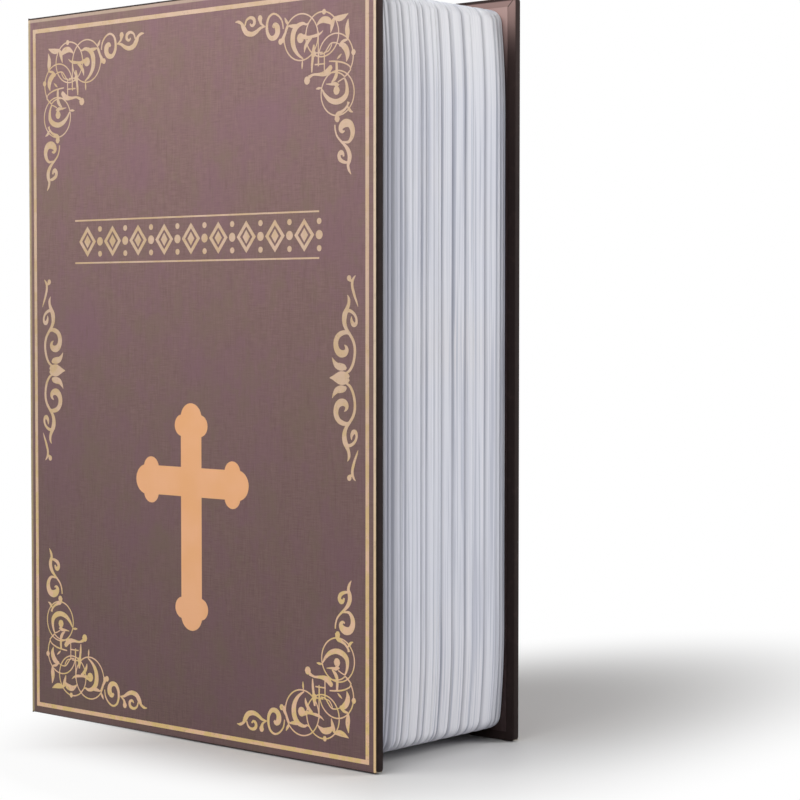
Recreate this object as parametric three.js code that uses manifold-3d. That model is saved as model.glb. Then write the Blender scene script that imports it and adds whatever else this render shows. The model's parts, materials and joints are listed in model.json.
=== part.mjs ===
// A book diversion safe: a hardback cover around a steel box whose hinged lid has a key-operated cam lock.
// Millimetres, +Z up. X runs from the spine to the fore-edge, Y from the front cover to the back cover.
// The origin is the middle of the base on which the book stands.
import * as THREE from "three";
import { mergeVertices } from "three/addons/utils/BufferGeometryUtils.js";
import Module from "manifold-3d";

// The book, over its cover.
const bookWidth = 160;
const bookDepth = 70;
const bookHeight = 240;

// The case: greyboard, the printed paper round it and the papers pasted inside.
const boardThickness = 2.4;
const wrapThickness = 0.3;
const endpaperThickness = 0.2;
const turnInWidth = 14;
const endpaperMargin = 3;
const boardCornerRadius = 1.2;
const foldWidth = 0.5;
const foldSwingGap = 0.4;

// The page block moulding.
const pageOverhang = 3.3;
const pageEndOverhang = 3.5;
const pageWall = 1.8;
const pageRimWidth = 4.6;
const pageRimThickness = 1.8;
const pageRimSetback = 0.2;
const pageSpineGap = 0.3;
const pageCornerRadius = 5;
const pageBow = 1.6;
const pageBowLength = 30;
const ribDepth = 0.8;
// Each groove: its place as a share of the block's depth, and its depth as a share of ribDepth.
const grooveShares = [
  [0.065, 1], [0.131, 0.45], [0.171, 0.9], [0.223, 0.35], [0.298, 0.7], [0.338, 0.75], [0.393, 0.3],
  [0.456, 0.8], [0.551, 0.9], [0.656, 1], [0.717, 0.3], [0.822, 1], [0.922, 0.45], [0.963, 0.7],
];
const frontEdgeShare = 0.6;

// The steel box and its lid.
const sheetThickness = 1;
const boxCornerRadius = 5;
const floorBendRadius = 2.5;
const lidBendRadius = 1.5;
const flangeDepth = 6;
const lidToRimGap = 0.9;
const lidToBoxGap = 0.5;
const lidSeatGap = 0.4;
const lidMargin = 6.4;
const hingeMargin = 13;
const panelRise = 0.9;
const panelSlope = 1;
const coverToLockGap = 0.4;

// The adhesive foam that holds the box in the case.
const backPadThickness = 1;
const padInset = 18;
const spinePadToLeaf = 8.9;

// The lid's continuous hinge.
const pinRadius = 1;
const pinHeadRadius = 1.7;
const pinHeadHeight = 0.6;
const leafThickness = 0.8;
const bodyLeafWidth = 12;
const lidLeafWidth = 11;
const knuckleCount = 9;
const knuckleGap = 0.4;
const hingeEndMargin = 9;
const hingeToSpineGap = 0.9;
const turningGap = 0.3;

// Rivets, the same in the hinge leaves and in the strike.
const rivetRadius = 1.2;
const rivetHeadRadius = 2.2;
const rivetHeadHeight = 0.8;
const rivetTailRadius = 1.9;
const rivetTailHeight = 0.5;
const leafRivetShares = [0.06, 0.35, 0.65, 0.94];

// The screws of the page block.
const screwRadius = 1.4;
const screwReach = 5.4;
const screwTip = 1;
const screwHeadRadius = 2.8;
const screwHeadHeight = 1.6;
const bossRadius = 3.4;
const screwHeightShares = [0.25, 0.75];
const screwWidthShares = [0.26, 0.74];
const screwDepthShare = 0.56;

// The cam lock: housing, plug, wafers, nut and cam.
const lockToPanelEdge = 11.7;
const bezelRadius = 9.5;
const bezelHeight = 2.2;
const bezelRim = 0.5;
const bezelLipRadius = 7.1;
const barrelRadius = 8;
const barrelFlat = 6.9;
const barrelLength = 15;
const plugHeadRadius = 6.45;
const plugHeadHeight = 1.6;
const plugRecess = 0.3;
const plugRadius = 5.2;
const tangHalf = 2.8;
const keyDishRadius = 2.3;
const keyDishDepth = 1.2;
const keySlotWidth = 7.2;
const keySlotHeight = 1.9;
const keySlotDepth = 12.5;
const waferCount = 4;
const waferPitch = 2.3;
const waferStart = 3.4;
const waferThickness = 0.7;
const waferHalfWidth = 4.3;
const waferHalfHeight = 2.6;
const waferBar = 0.6;
const washerThickness = 0.8;
const washerRadius = 10.2;
const washerTeeth = 16;
const washerToothDepth = 0.7;
const nutAcrossFlats = 18;
const nutThickness = 4;
const camThickness = 2;
const camLength = 14.5;
const camHalfWidth = 5;
const camHubRadius = 6.5;
const camWasherRadius = 4.6;
const camWasherThickness = 0.8;
const camScrewRadius = 2;
const camScrewLength = 6;
const camScrewHeadRadius = 3.7;
const camScrewHeadHeight = 2.2;

// The strike bracket behind whose lip the cam hooks.
const strikeThickness = 1.2;
const strikeHalfHeight = 13;
const strikeReach = 5;
const strikeDepth = 9;
const strikeGap = 0.5;
const strikeRivetInset = 5;

// How far a cut runs past the faces that it opens, and the smallest corner radius.
const overrun = 1;
const leastRadius = 0.2;

// Rounded heads: how wide and how high they still are where the dome turns over.
const domeWidthShare = 0.85;
const domeHeightShare = 0.85;
// How square the page block's lobes are between their grooves.
const crownPower = 3;

// Facets on round shapes.
const roundSides = 32;
const smallSides = 16;
const cornerSides = 4;
const bendSides = 3;
const crownSides = 4;

// Where the layers lie from the front cover to the back cover.
const frontFace = -bookDepth / 2;
const backFace = bookDepth / 2;
const coverThickness = boardThickness + 2 * wrapThickness;
const frontBoardFace = frontFace + wrapThickness;
const frontBoardBack = frontBoardFace + boardThickness;
const frontCoverBack = frontFace + coverThickness;
const frontPaperFace = frontCoverBack + endpaperThickness;
const backBoardFace = backFace - wrapThickness;
const backBoardFront = backBoardFace - boardThickness;
const backCoverFront = backFace - coverThickness;
const backPaperFace = backCoverFront - endpaperThickness;
const lidPanelFace = frontPaperFace + coverToLockGap + bezelHeight;
const lidFace = lidPanelFace + panelRise;
const lidInner = lidFace + sheetThickness;
const flangeBack = lidFace + flangeDepth;
const pageFront = lidFace + pageRimSetback;
const pageDepth = backPaperFace - pageFront;
const boxFront = lidInner + lidSeatGap;
const boxBack = backPaperFace - backPadThickness;
const boxFloor = boxBack - sheetThickness;

// Where they lie from the spine to the fore-edge.
const spineFace = -bookWidth / 2;
const foreEdge = bookWidth / 2;
const spineBoardFace = spineFace + wrapThickness;
const spineBoardBack = spineBoardFace + boardThickness;
const spineCoverBack = spineFace + coverThickness;
const spinePaperFace = spineCoverBack + endpaperThickness;
const knuckleRadius = pinRadius + turningGap + leafThickness;
const hingeX = spinePaperFace + hingeToSpineGap + knuckleRadius;
const hingeY = lidInner + leafThickness - knuckleRadius;
const pageFore = foreEdge - pageOverhang;
const lidFore = pageFore - pageRimWidth - lidToRimGap;
const lidSpineEdge = hingeX + knuckleRadius + turningGap;
const boxFore = lidFore - sheetThickness - lidToBoxGap;
const boxForeInner = boxFore - sheetThickness;
const boxSpine = hingeX - knuckleRadius + leafThickness;
const boxSpineInner = boxSpine + sheetThickness;

// Where they lie from the tail to the head.
const middleHeight = bookHeight / 2;
const pageTail = pageEndOverhang;
const pageHead = bookHeight - pageEndOverhang;
const lidTail = pageTail + pageRimWidth + lidToRimGap;
const lidHead = pageHead - pageRimWidth - lidToRimGap;
const boxTail = lidTail + sheetThickness + lidToBoxGap;
const boxHead = lidHead - sheetThickness - lidToBoxGap;
const hingeTail = lidTail + hingeEndMargin;
const hingeHead = lidHead - hingeEndMargin;

// The lock's place in the lid.
const panelFore = lidFore - lidMargin;
const lockX = panelFore - lockToPanelEdge;
const bezelFront = lidPanelFace - bezelHeight;
const lidPanelInner = lidPanelFace + sheetThickness;
const barrelBack = lidPanelFace + barrelLength;
const plugFront = bezelFront + plugRecess;
const plugShoulder = plugFront + plugHeadHeight;
const camFront = barrelBack + turningGap;
const camBack = camFront + camThickness;
const strikeLipBack = camFront - strikeGap;
const strikeLipFront = strikeLipBack - strikeThickness;

// Finishes.
const greyboard = { color: 0x8f8779, roughness: 0.95, metalness: 0 };
const printedPaper = { color: 0x755f5a, roughness: 0.7, metalness: 0 };
const darkPaper = { color: 0x2a2122, roughness: 0.45, metalness: 0 };
const pageWhite = { color: 0xd9d9dd, roughness: 0.45, metalness: 0 };
const powderCoat = { color: 0x3c4a48, roughness: 0.6, metalness: 0.2 };
const foam = { color: 0xc9c7bd, roughness: 0.95, metalness: 0 };
const zincSteel = { color: 0xb4b6b5, roughness: 0.35, metalness: 1 };
const chrome = { color: 0xe4e6e8, roughness: 0.08, metalness: 1 };
const satinNickel = { color: 0xb9b8b2, roughness: 0.35, metalness: 1 };
const brass = { color: 0xb8964e, roughness: 0.35, metalness: 1 };

const wasm = await Module();
wasm.setup();

// A geometry as a solid: shared corners merged, flat triangles dropped, faces turned outwards.
function solidFrom(geometry) {
  const bare = new THREE.BufferGeometry();
  bare.setAttribute("position", geometry.getAttribute("position"));
  bare.setIndex(geometry.getIndex());
  const merged = mergeVertices(bare);
  const index = merged.getIndex().array;
  const kept = [];
  for (let i = 0; i < index.length; i += 3) {
    const [a, b, c] = index.slice(i, i + 3);
    if (a !== b && b !== c && c !== a) kept.push(a, b, c);
  }
  const vertProperties = merged.getAttribute("position").array;
  const build = (triVerts) => new wasm.Manifold(new wasm.Mesh({ numProp: 3, vertProperties, triVerts }));
  const solid = build(Uint32Array.from(kept));
  return solid.volume() < 0 ? build(Uint32Array.from(kept).reverse()) : solid;
}

function geometryFrom(solid) {
  const mesh = solid.getMesh();
  const shared = new THREE.BufferGeometry();
  shared.setAttribute("position", new THREE.BufferAttribute(mesh.vertProperties, 3));
  shared.setIndex(new THREE.BufferAttribute(mesh.triVerts, 1));
  const geometry = shared.toNonIndexed();
  geometry.computeVertexNormals();
  return geometry;
}

function piece(name, solid, finish) {
  const mesh = new THREE.Mesh(geometryFrom(solid), new THREE.MeshStandardMaterial(finish));
  mesh.name = name;
  return mesh;
}

// A block between two corners.
function block(xLow, xHigh, yLow, yHigh, zLow, zHigh) {
  const geometry = new THREE.BoxGeometry();
  const spot = geometry.getAttribute("position");
  for (let i = 0; i < spot.count; i += 1) {
    spot.setXYZ(
      i,
      spot.getX(i) < 0 ? xLow : xHigh,
      spot.getY(i) < 0 ? yLow : yHigh,
      spot.getZ(i) < 0 ? zLow : zHigh,
    );
  }
  return solidFrom(geometry);
}

const unitExtrusion = { depth: 1, bevelEnabled: false, curveSegments: cornerSides };

// A shape drawn in x and z, between two depths.
function plate(shape, yFront, yBack) {
  const geometry = new THREE.ExtrudeGeometry(shape, unitExtrusion);
  const spot = geometry.getAttribute("position");
  for (let i = 0; i < spot.count; i += 1) {
    spot.setXYZ(i, spot.getX(i), spot.getZ(i) > 0 ? yFront : yBack, spot.getY(i));
  }
  return solidFrom(geometry);
}

// A shape drawn in x and y, between two heights.
function column(shape, zLow, zHigh) {
  const geometry = new THREE.ExtrudeGeometry(shape, unitExtrusion);
  const spot = geometry.getAttribute("position");
  for (let i = 0; i < spot.count; i += 1) spot.setZ(i, spot.getZ(i) > 0 ? zHigh : zLow);
  return solidFrom(geometry);
}

// A profile of [radius, place] corners turned about the X, Y or Z axis.
function turned(profile, sides, axis) {
  const points = profile.map(([radius, place]) => new THREE.Vector2(radius, place));
  const geometry = new THREE.LatheGeometry(points, sides);
  if (axis === "x") geometry.rotateZ(-Math.PI / 2);
  if (axis === "z") geometry.rotateX(Math.PI / 2);
  return solidFrom(geometry);
}

function disc(radius, low, high, sides, axis) {
  return turned([[0, low], [radius, low], [radius, high], [0, high]], sides, axis);
}

// A closed skin through rings of equal point counts. The outline gives the triangles of its two end faces,
// whose turning sense is the same whichever way the outline runs, so the side faces follow that sense.
function skinThrough(rings, outline) {
  const count = outline.length;
  const faces = [];
  const clockwise = THREE.ShapeUtils.isClockWise(outline);
  for (let row = 0; row < rings.length - 1; row += 1) {
    for (let i = 0; i < count; i += 1) {
      const near = row * count + i;
      const nearNext = row * count + ((i + 1) % count);
      const quad = [near, nearNext, nearNext + count, near, nearNext + count, near + count];
      faces.push(...(clockwise ? quad.reverse() : quad));
    }
  }
  const last = (rings.length - 1) * count;
  for (const [a, b, c] of THREE.ShapeUtils.triangulateShape(outline, [])) {
    faces.push(c, b, a, last + a, last + b, last + c);
  }
  const corners = rings.flat().flatMap((point) => point.toArray());
  const geometry = new THREE.BufferGeometry();
  geometry.setAttribute("position", new THREE.Float32BufferAttribute(corners, 3));
  geometry.setIndex(faces);
  return solidFrom(geometry);
}

// A frame in x and z, and the same frame drawn in on every side.
function frameOf(spine, fore, tail, head) {
  return { spine, fore, tail, head };
}

function drawnIn(frame, by) {
  return frameOf(frame.spine + by, frame.fore - by, frame.tail + by, frame.head - by);
}

// A rectangle in x and z with arcs at its corners, as points.
function roundedOutline(frame, radius) {
  const round = Math.max(radius, leastRadius);
  const inner = drawnIn(frame, round);
  const centres = [
    [inner.fore, inner.head],
    [inner.spine, inner.head],
    [inner.spine, inner.tail],
    [inner.fore, inner.tail],
  ];
  return centres.flatMap(([x, z], quarter) =>
    Array.from({ length: cornerSides + 1 }, (_, step) => {
      const angle = (Math.PI / 2) * (quarter + step / cornerSides);
      return new THREE.Vector2(x + round * Math.cos(angle), z + round * Math.sin(angle));
    }),
  );
}

function ringAt(frame, radius, y) {
  return roundedOutline(frame, radius).map((point) => new THREE.Vector3(point.x, y, point.y));
}

// Rings round a sheet-metal bend from a flat face at yFlat into a wall that runs the other way.
function bendRings(frame, cornerRadius, bendRadius, yFlat, wallSign) {
  return Array.from({ length: bendSides + 1 }, (_, step) => {
    const angle = (Math.PI / 2) * (step / bendSides);
    const inward = bendRadius * (1 - Math.sin(angle));
    const along = bendRadius * (1 - Math.cos(angle));
    return ringAt(drawnIn(frame, inward), cornerRadius - inward, yFlat + wallSign * along);
  });
}

// A board's outline: square at the fold, rounded at the two fore-edge corners.
function boardShape(frame, radius) {
  const shape = new THREE.Shape();
  shape.moveTo(frame.spine, frame.tail);
  shape.lineTo(frame.fore - radius, frame.tail);
  shape.absarc(frame.fore - radius, frame.tail + radius, radius, -Math.PI / 2, 0, false);
  shape.lineTo(frame.fore, frame.head - radius);
  shape.absarc(frame.fore - radius, frame.head - radius, radius, 0, Math.PI / 2, false);
  shape.lineTo(frame.spine, frame.head);
  shape.closePath();
  return shape;
}

// A cover: its board, the printed paper turned in over three edges, and the paper pasted inside.
// outer and inner are the cover's two faces; the board and papers lie between them.
function coverPieces(side, outer, boardOuter, boardInner, inner, paperFace) {
  const fold = spineFace + foldWidth;
  const outside = frameOf(fold, foreEdge, 0, bookHeight);
  const core = frameOf(fold, foreEdge - wrapThickness, wrapThickness, bookHeight - wrapThickness);
  const board = plate(boardShape(core, boardCornerRadius), ...ordered(boardOuter, boardInner));
  const skin = plate(boardShape(outside, boardCornerRadius + wrapThickness), ...ordered(outer, inner));
  const windowFore = foreEdge - turnInWidth;
  const windowHeights = [turnInWidth, bookHeight - turnInWidth];
  const reach = inner + Math.sign(inner - boardInner) * overrun;
  const opening = block(fold - overrun, windowFore, ...ordered(boardInner, reach), ...windowHeights);
  const wrap = skin.subtract(board).subtract(opening);
  const paperFore = foreEdge - endpaperMargin;
  const paperHeights = [endpaperMargin, bookHeight - endpaperMargin];
  const sheet = block(spinePaperFace, paperFore, ...ordered(inner, paperFace), ...paperHeights);
  const fill = block(spinePaperFace, windowFore, ...ordered(boardInner, inner), ...windowHeights);
  return [
    piece(side + "_board", board, greyboard),
    piece(side + "_wrap", wrap, printedPaper),
    piece(side + "_endpaper", sheet.add(fill), darkPaper),
  ];
}

function ordered(a, b) {
  return a < b ? [a, b] : [b, a];
}

// The spine: board, printed paper that runs round the back corner, and the liner inside.
function spinePieces() {
  const front = frontCoverBack + foldSwingGap;
  const back = backCoverFront - foldSwingGap;
  const innerHeight = [turnInWidth, bookHeight - turnInWidth];
  const paperHeight = [endpaperMargin, bookHeight - endpaperMargin];
  const past = spineCoverBack + overrun;
  const board = block(spineBoardFace, spineBoardBack, front, back, wrapThickness, bookHeight - wrapThickness);
  const skin = block(spineFace, spineCoverBack, front, back, 0, bookHeight)
    .subtract(board)
    .subtract(block(spineBoardBack, past, front - overrun, back + overrun, ...innerHeight));
  const corner = block(spineFace, spineBoardFace, back, backFace, 0, bookHeight);
  const cornerFoot = block(spineFace, spineFace + foldWidth, backBoardFace, backFace, 0, bookHeight);
  const fill = block(spineBoardBack, spineCoverBack, front, back, ...innerHeight);
  const sheet = block(spineCoverBack, spinePaperFace, front, back, ...paperHeight);
  return [
    piece("spine_board", board, greyboard),
    piece("spine_wrap", skin.add(corner).add(cornerFoot), printedPaper),
    piece("spine_liner", sheet.add(fill), darkPaper),
  ];
}

// The bare fold on which the front cover swings, from the spine to the front corner.
function frontFold() {
  const fold = block(spineFace, spineBoardFace, frontFace, frontCoverBack + foldSwingGap, 0, bookHeight);
  return piece("front_fold", fold, printedPaper);
}

// Stations along the page block's head, fore-edge and tail: a point and the direction into the block.
// The fore-edge is straight in the middle and bows in towards both ends before its corners.
function pageStations() {
  const slope = Math.atan((2 * pageBow) / pageBowLength);
  const arcX = pageFore - pageBow - pageCornerRadius * Math.cos(slope);
  const arcZ = pageHead - pageCornerRadius;
  const bowTop = arcZ + pageCornerRadius * Math.sin(slope);
  const upper = [{ x: spinePaperFace + pageSpineGap, z: pageHead, angle: Math.PI / 2 }];
  for (let step = 0; step <= 2 * cornerSides; step += 1) {
    const angle = Math.PI / 2 + (slope - Math.PI / 2) * (step / (2 * cornerSides));
    const x = arcX + pageCornerRadius * Math.cos(angle);
    upper.push({ x, z: arcZ + pageCornerRadius * Math.sin(angle), angle });
  }
  for (let step = 1; step <= cornerSides; step += 1) {
    const left = 1 - step / cornerSides;
    const angle = Math.atan((2 * pageBow * left) / pageBowLength);
    upper.push({ x: pageFore - pageBow * left * left, z: bowTop - pageBowLength * (1 - left), angle });
  }
  const lower = upper.map(({ x, z, angle }) => ({ x, z: bookHeight - z, angle: -angle })).reverse();
  return [...upper, ...lower];
}

// The section of the moulding: how far in from its crests, and how far back. The outer side is a row of
// crowned lobes between grooves, like the leaves of a thick book.
function pageSection() {
  const section = [new THREE.Vector2(ribDepth * frontEdgeShare, pageFront)];
  const grooves = [[0, frontEdgeShare], ...grooveShares, [1, 0]];
  for (let lobe = 1; lobe < grooves.length; lobe += 1) {
    const [fromShare, fromDepth] = grooves[lobe - 1];
    const [toShare, toDepth] = grooves[lobe];
    for (let step = 1; step <= crownSides; step += 1) {
      const along = step / crownSides;
      const off = Math.abs(2 * along - 1) ** crownPower;
      const depth = (along < 1 / 2 ? fromDepth : toDepth) * off;
      const share = fromShare + (toShare - fromShare) * along;
      section.push(new THREE.Vector2(ribDepth * depth, pageFront + pageDepth * share));
    }
  }
  section.push(new THREE.Vector2(pageWall, backPaperFace));
  section.push(new THREE.Vector2(pageWall, pageFront + pageRimThickness));
  section.push(new THREE.Vector2(pageRimWidth, pageFront + pageRimThickness));
  section.push(new THREE.Vector2(pageRimWidth, pageFront));
  return section;
}

// Where the page block's screws go: the wall's direction out of the box, and the place along it.
function screwPlaces() {
  const heights = screwHeightShares.map((share) => boxTail + (boxHead - boxTail) * share);
  const widths = screwWidthShares.map((share) => boxSpine + (boxFore - boxSpine) * share);
  return [
    ...heights.map((at) => ({ side: "fore", at })),
    ...widths.map((at) => ({ side: "head", at })),
    ...widths.map((at) => ({ side: "tail", at })),
  ];
}

const screwY = pageFront + pageDepth * screwDepthShare;

// A turned profile, measured outwards from the box's outer wall, set at one of the screw places.
function atScrew(profile, place) {
  const shifted = (sign, wall) => profile.map(([radius, out]) => [radius, wall + sign * out]);
  if (place.side === "fore") {
    return turned(shifted(1, boxFore), smallSides, "x").translate([0, screwY, place.at]);
  }
  const wall = place.side === "head" ? boxHead : boxTail;
  const sign = place.side === "head" ? 1 : -1;
  // Turning about X carries the profile's own axis onto Z and leaves its sense as it was.
  return turned(shifted(sign, wall), smallSides, "z").translate([place.at, screwY, 0]);
}

function pageShell() {
  const section = pageSection();
  const rings = pageStations().map(({ x, z, angle }) =>
    section.map((point) => {
      const inwardX = x - point.x * Math.cos(angle);
      const inwardZ = z - point.x * Math.sin(angle);
      return new THREE.Vector3(inwardX, point.y, inwardZ);
    }),
  );
  // The rim's opening is straight, although the fore-edge outside it is bowed.
  const openCorner = boxCornerRadius + lidToBoxGap + sheetThickness + lidToRimGap;
  const open = drawnIn(frameOf(spineFace - openCorner, pageFore, pageTail, pageHead), pageRimWidth);
  const opening = new THREE.Shape(roundedOutline(open, openCorner));
  let shell = skinThrough(rings, section).subtract(
    plate(opening, pageFront - overrun, pageFront + pageRimThickness + overrun),
  );
  const bossLength = pageFore - pageWall - boxFore;
  const bossEnd = bossLength + pageWall / 2;
  const holeRadius = screwRadius + turningGap;
  const boss = [[0, 0], [bossRadius, 0], [bossRadius, bossEnd], [0, bossEnd]];
  const hole = [[0, -overrun], [holeRadius, -overrun], [holeRadius, screwReach], [0, screwReach]];
  for (const place of screwPlaces()) {
    shell = shell.add(atScrew(boss, place)).subtract(atScrew(hole, place));
  }
  return piece("page_shell", shell, pageWhite);
}

function pageScrews() {
  const inner = -sheetThickness;
  const profile = [
    [0, inner - screwHeadHeight],
    [screwHeadRadius * domeWidthShare, inner - screwHeadHeight],
    [screwHeadRadius, inner - screwHeadHeight / 2],
    [screwHeadRadius, inner],
    [screwRadius, inner],
    [screwRadius, screwReach - turningGap - screwTip],
    [0, screwReach - turningGap],
  ];
  return screwPlaces().map((place, i) =>
    piece("page_shell_screw_" + (i + 1), atScrew(profile, place), zincSteel),
  );
}

// Evenly placed heights along the hinge for the rivets of its leaves.
const leafRivetHeights = leafRivetShares.map((share) => hingeTail + (hingeHead - hingeTail) * share);
const bodyRivetY = (hingeY + knuckleRadius + turningGap + hingeY + bodyLeafWidth) / 2;
const lidRivetX = (lidSpineEdge + hingeX + lidLeafWidth) / 2;
const strikeRivetHeights = [-1, 1].map((side) => middleHeight + side * (strikeHalfHeight - strikeRivetInset));
const strikeRivetY = (strikeLipBack - strikeDepth + strikeLipFront) / 2;

// The drawn tray: floor, bent edge, walls with rounded corners, open at the front.
function boxBody() {
  const outer = frameOf(boxSpine, boxFore, boxTail, boxHead);
  const inner = drawnIn(outer, sheetThickness);
  const innerCorner = boxCornerRadius - sheetThickness;
  const innerBend = floorBendRadius - sheetThickness;
  const rings = [
    ...bendRings(outer, boxCornerRadius, floorBendRadius, boxBack, -1),
    ringAt(outer, boxCornerRadius, boxFront),
    ringAt(inner, innerCorner, boxFront),
    ...bendRings(inner, innerCorner, innerBend, boxFloor, -1).reverse(),
  ];
  const relief = hingeY + knuckleRadius + lidSeatGap;
  let box = skinThrough(rings, roundedOutline(outer, boxCornerRadius)).subtract(
    block(boxSpine - overrun, lidSpineEdge, boxFront - overrun, relief, boxTail - overrun, boxHead + overrun),
  );
  const rivetHole = rivetRadius + turningGap;
  for (const z of leafRivetHeights) {
    const hole = disc(rivetHole, boxSpine - overrun, boxSpineInner + overrun, smallSides, "x");
    box = box.subtract(hole.translate([0, bodyRivetY, z]));
  }
  for (const z of strikeRivetHeights) {
    const hole = disc(rivetHole, boxForeInner - overrun, boxFore + overrun, smallSides, "x");
    box = box.subtract(hole.translate([0, strikeRivetY, z]));
  }
  const wall = [[0, -sheetThickness - overrun], [screwRadius + turningGap, -sheetThickness - overrun]];
  const through = [...wall, [screwRadius + turningGap, overrun], [0, overrun]];
  for (const place of screwPlaces()) box = box.subtract(atScrew(through, place));
  return piece("box_body", box, powderCoat);
}

// Foam pads between the box and the case.
function pads() {
  const back = block(
    boxSpine + padInset, boxFore - padInset, boxBack, backPaperFace, boxTail + padInset, boxHead - padInset,
  );
  const spineFront = hingeY + bodyLeafWidth + spinePadToLeaf;
  const spineBack = boxBack - floorBendRadius;
  const side = block(spinePaperFace, boxSpine, spineFront, spineBack, boxTail + padInset, boxHead - padInset);
  return [piece("back_pad", back, foam), piece("spine_pad", side, foam)];
}

// The heights between which each knuckle lies. Even ones belong to the body's leaf, odd ones to the lid's.
function knuckleSpans(first) {
  const pitch = (hingeHead - hingeTail + knuckleGap) / knuckleCount;
  const spans = Array.from({ length: knuckleCount }, (_, i) => [
    hingeTail + i * pitch,
    hingeTail + (i + 1) * pitch - knuckleGap,
  ]);
  return spans.filter((_, i) => i % 2 === first);
}

// One leaf: rolled knuckles on tabs, joined by a flat plate.
// plateBlock is the plate itself; tabBlock makes the strip that joins it to one knuckle.
function hingeLeaf(first, plateBlock, tabBlock) {
  const ring = new THREE.Shape();
  ring.absarc(hingeX, hingeY, knuckleRadius, 0, 2 * Math.PI, false);
  const bore = new THREE.Shape();
  bore.absarc(hingeX, hingeY, pinRadius + turningGap, 0, 2 * Math.PI, false);
  let leaf = plateBlock;
  for (const [low, high] of knuckleSpans(first)) {
    leaf = leaf.add(tabBlock(low, high)).add(column(ring, low, high));
  }
  return leaf.subtract(column(bore, hingeTail - overrun, hingeHead + overrun));
}

function bodyLeaf() {
  const left = hingeX - knuckleRadius;
  const clear = hingeY + knuckleRadius + turningGap;
  const back = hingeY + bodyLeafWidth;
  const plateBlock = block(left, boxSpine, clear, back, hingeTail, hingeHead);
  const tab = (low, high) => block(left, boxSpine, hingeY, clear, low, high);
  let leaf = hingeLeaf(0, plateBlock, tab);
  for (const z of leafRivetHeights) {
    const hole = disc(rivetRadius + turningGap, left - overrun, boxSpine + overrun, smallSides, "x");
    leaf = leaf.subtract(hole.translate([0, bodyRivetY, z]));
  }
  return piece("hinge_leaf_body", leaf, zincSteel);
}

function lidLeaf() {
  const back = lidInner + leafThickness;
  const plateBlock = block(lidSpineEdge, hingeX + lidLeafWidth, lidInner, back, hingeTail, hingeHead);
  const tab = (low, high) => block(hingeX, lidSpineEdge, lidInner, back, low, high);
  let leaf = hingeLeaf(1, plateBlock, tab);
  for (const z of leafRivetHeights) {
    const hole = disc(rivetRadius + turningGap, lidInner - overrun, back + overrun, smallSides, "y");
    leaf = leaf.subtract(hole.translate([lidRivetX, 0, z]));
  }
  return piece("hinge_leaf_lid", leaf, zincSteel);
}

function hingePin() {
  const low = hingeTail - turningGap;
  const high = hingeHead + turningGap;
  const profile = [
    [0, low - pinHeadHeight],
    [pinHeadRadius, low - pinHeadHeight],
    [pinHeadRadius, low],
    [pinRadius, low],
    [pinRadius, high],
    [pinHeadRadius, high],
    [pinHeadRadius, high + pinHeadHeight],
    [0, high + pinHeadHeight],
  ];
  return piece("hinge_pin", turned(profile, smallSides, "z").translate([hingeX, hingeY, 0]), zincSteel);
}

// A rivet along an axis: domed head against headFace, flat tail against tailFace.
function rivet(headFace, tailFace, axis) {
  const out = Math.sign(headFace - tailFace);
  const profile = [
    [0, headFace + out * rivetHeadHeight],
    [rivetHeadRadius / 2, headFace + out * rivetHeadHeight * domeHeightShare],
    [rivetHeadRadius * domeWidthShare, headFace + (out * rivetHeadHeight) / 2],
    [rivetHeadRadius, headFace],
    [rivetRadius, headFace],
    [rivetRadius, tailFace],
    [rivetTailRadius, tailFace],
    [rivetTailRadius, tailFace - out * rivetTailHeight],
    [0, tailFace - out * rivetTailHeight],
  ];
  return turned(profile, smallSides, axis);
}

function bodyLeafRivets() {
  const solid = rivet(boxSpineInner, hingeX - knuckleRadius, "x");
  return leafRivetHeights.map((z, i) =>
    piece("body_leaf_rivet_" + (i + 1), solid.translate([0, bodyRivetY, z]), zincSteel),
  );
}

function lidLeafRivets() {
  const solid = rivet(lidFace, lidInner + leafThickness, "y");
  return leafRivetHeights.map((z, i) =>
    piece("lid_leaf_rivet_" + (i + 1), solid.translate([lidRivetX, 0, z]), zincSteel),
  );
}

// The strike: an angle riveted inside the fore-edge wall, its lip in front of the locked cam.
function strikePieces() {
  const tail = middleHeight - strikeHalfHeight;
  const head = middleHeight + strikeHalfHeight;
  const wallFront = strikeLipBack - strikeDepth;
  const wall = block(boxForeInner - strikeThickness, boxForeInner, wallFront, strikeLipBack, tail, head);
  const lip = block(boxForeInner - strikeReach, boxForeInner, strikeLipFront, strikeLipBack, tail, head);
  const holeSpan = [boxForeInner - strikeReach, boxForeInner + overrun];
  const hole = disc(rivetRadius + turningGap, ...holeSpan, smallSides, "x");
  let bracket = wall.add(lip);
  for (const z of strikeRivetHeights) {
    bracket = bracket.subtract(hole.translate([0, strikeRivetY, z]));
  }
  const solid = rivet(boxForeInner - strikeThickness, boxFore, "x");
  const rivets = strikeRivetHeights.map((z, i) =>
    piece("strike_rivet_" + (i + 1), solid.translate([0, strikeRivetY, z]), zincSteel),
  );
  return [piece("strike", bracket, zincSteel), ...rivets];
}

// The lock's double-D section with a clearance all round, between two depths.
function doubleD(clearance, yFront, yBack) {
  const round = disc(barrelRadius + clearance, yFront, yBack, roundSides, "y");
  const flat = barrelFlat + clearance;
  const wide = barrelRadius + overrun;
  return round.intersect(block(-wide, wide, yFront, yBack, -flat, flat));
}

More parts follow.
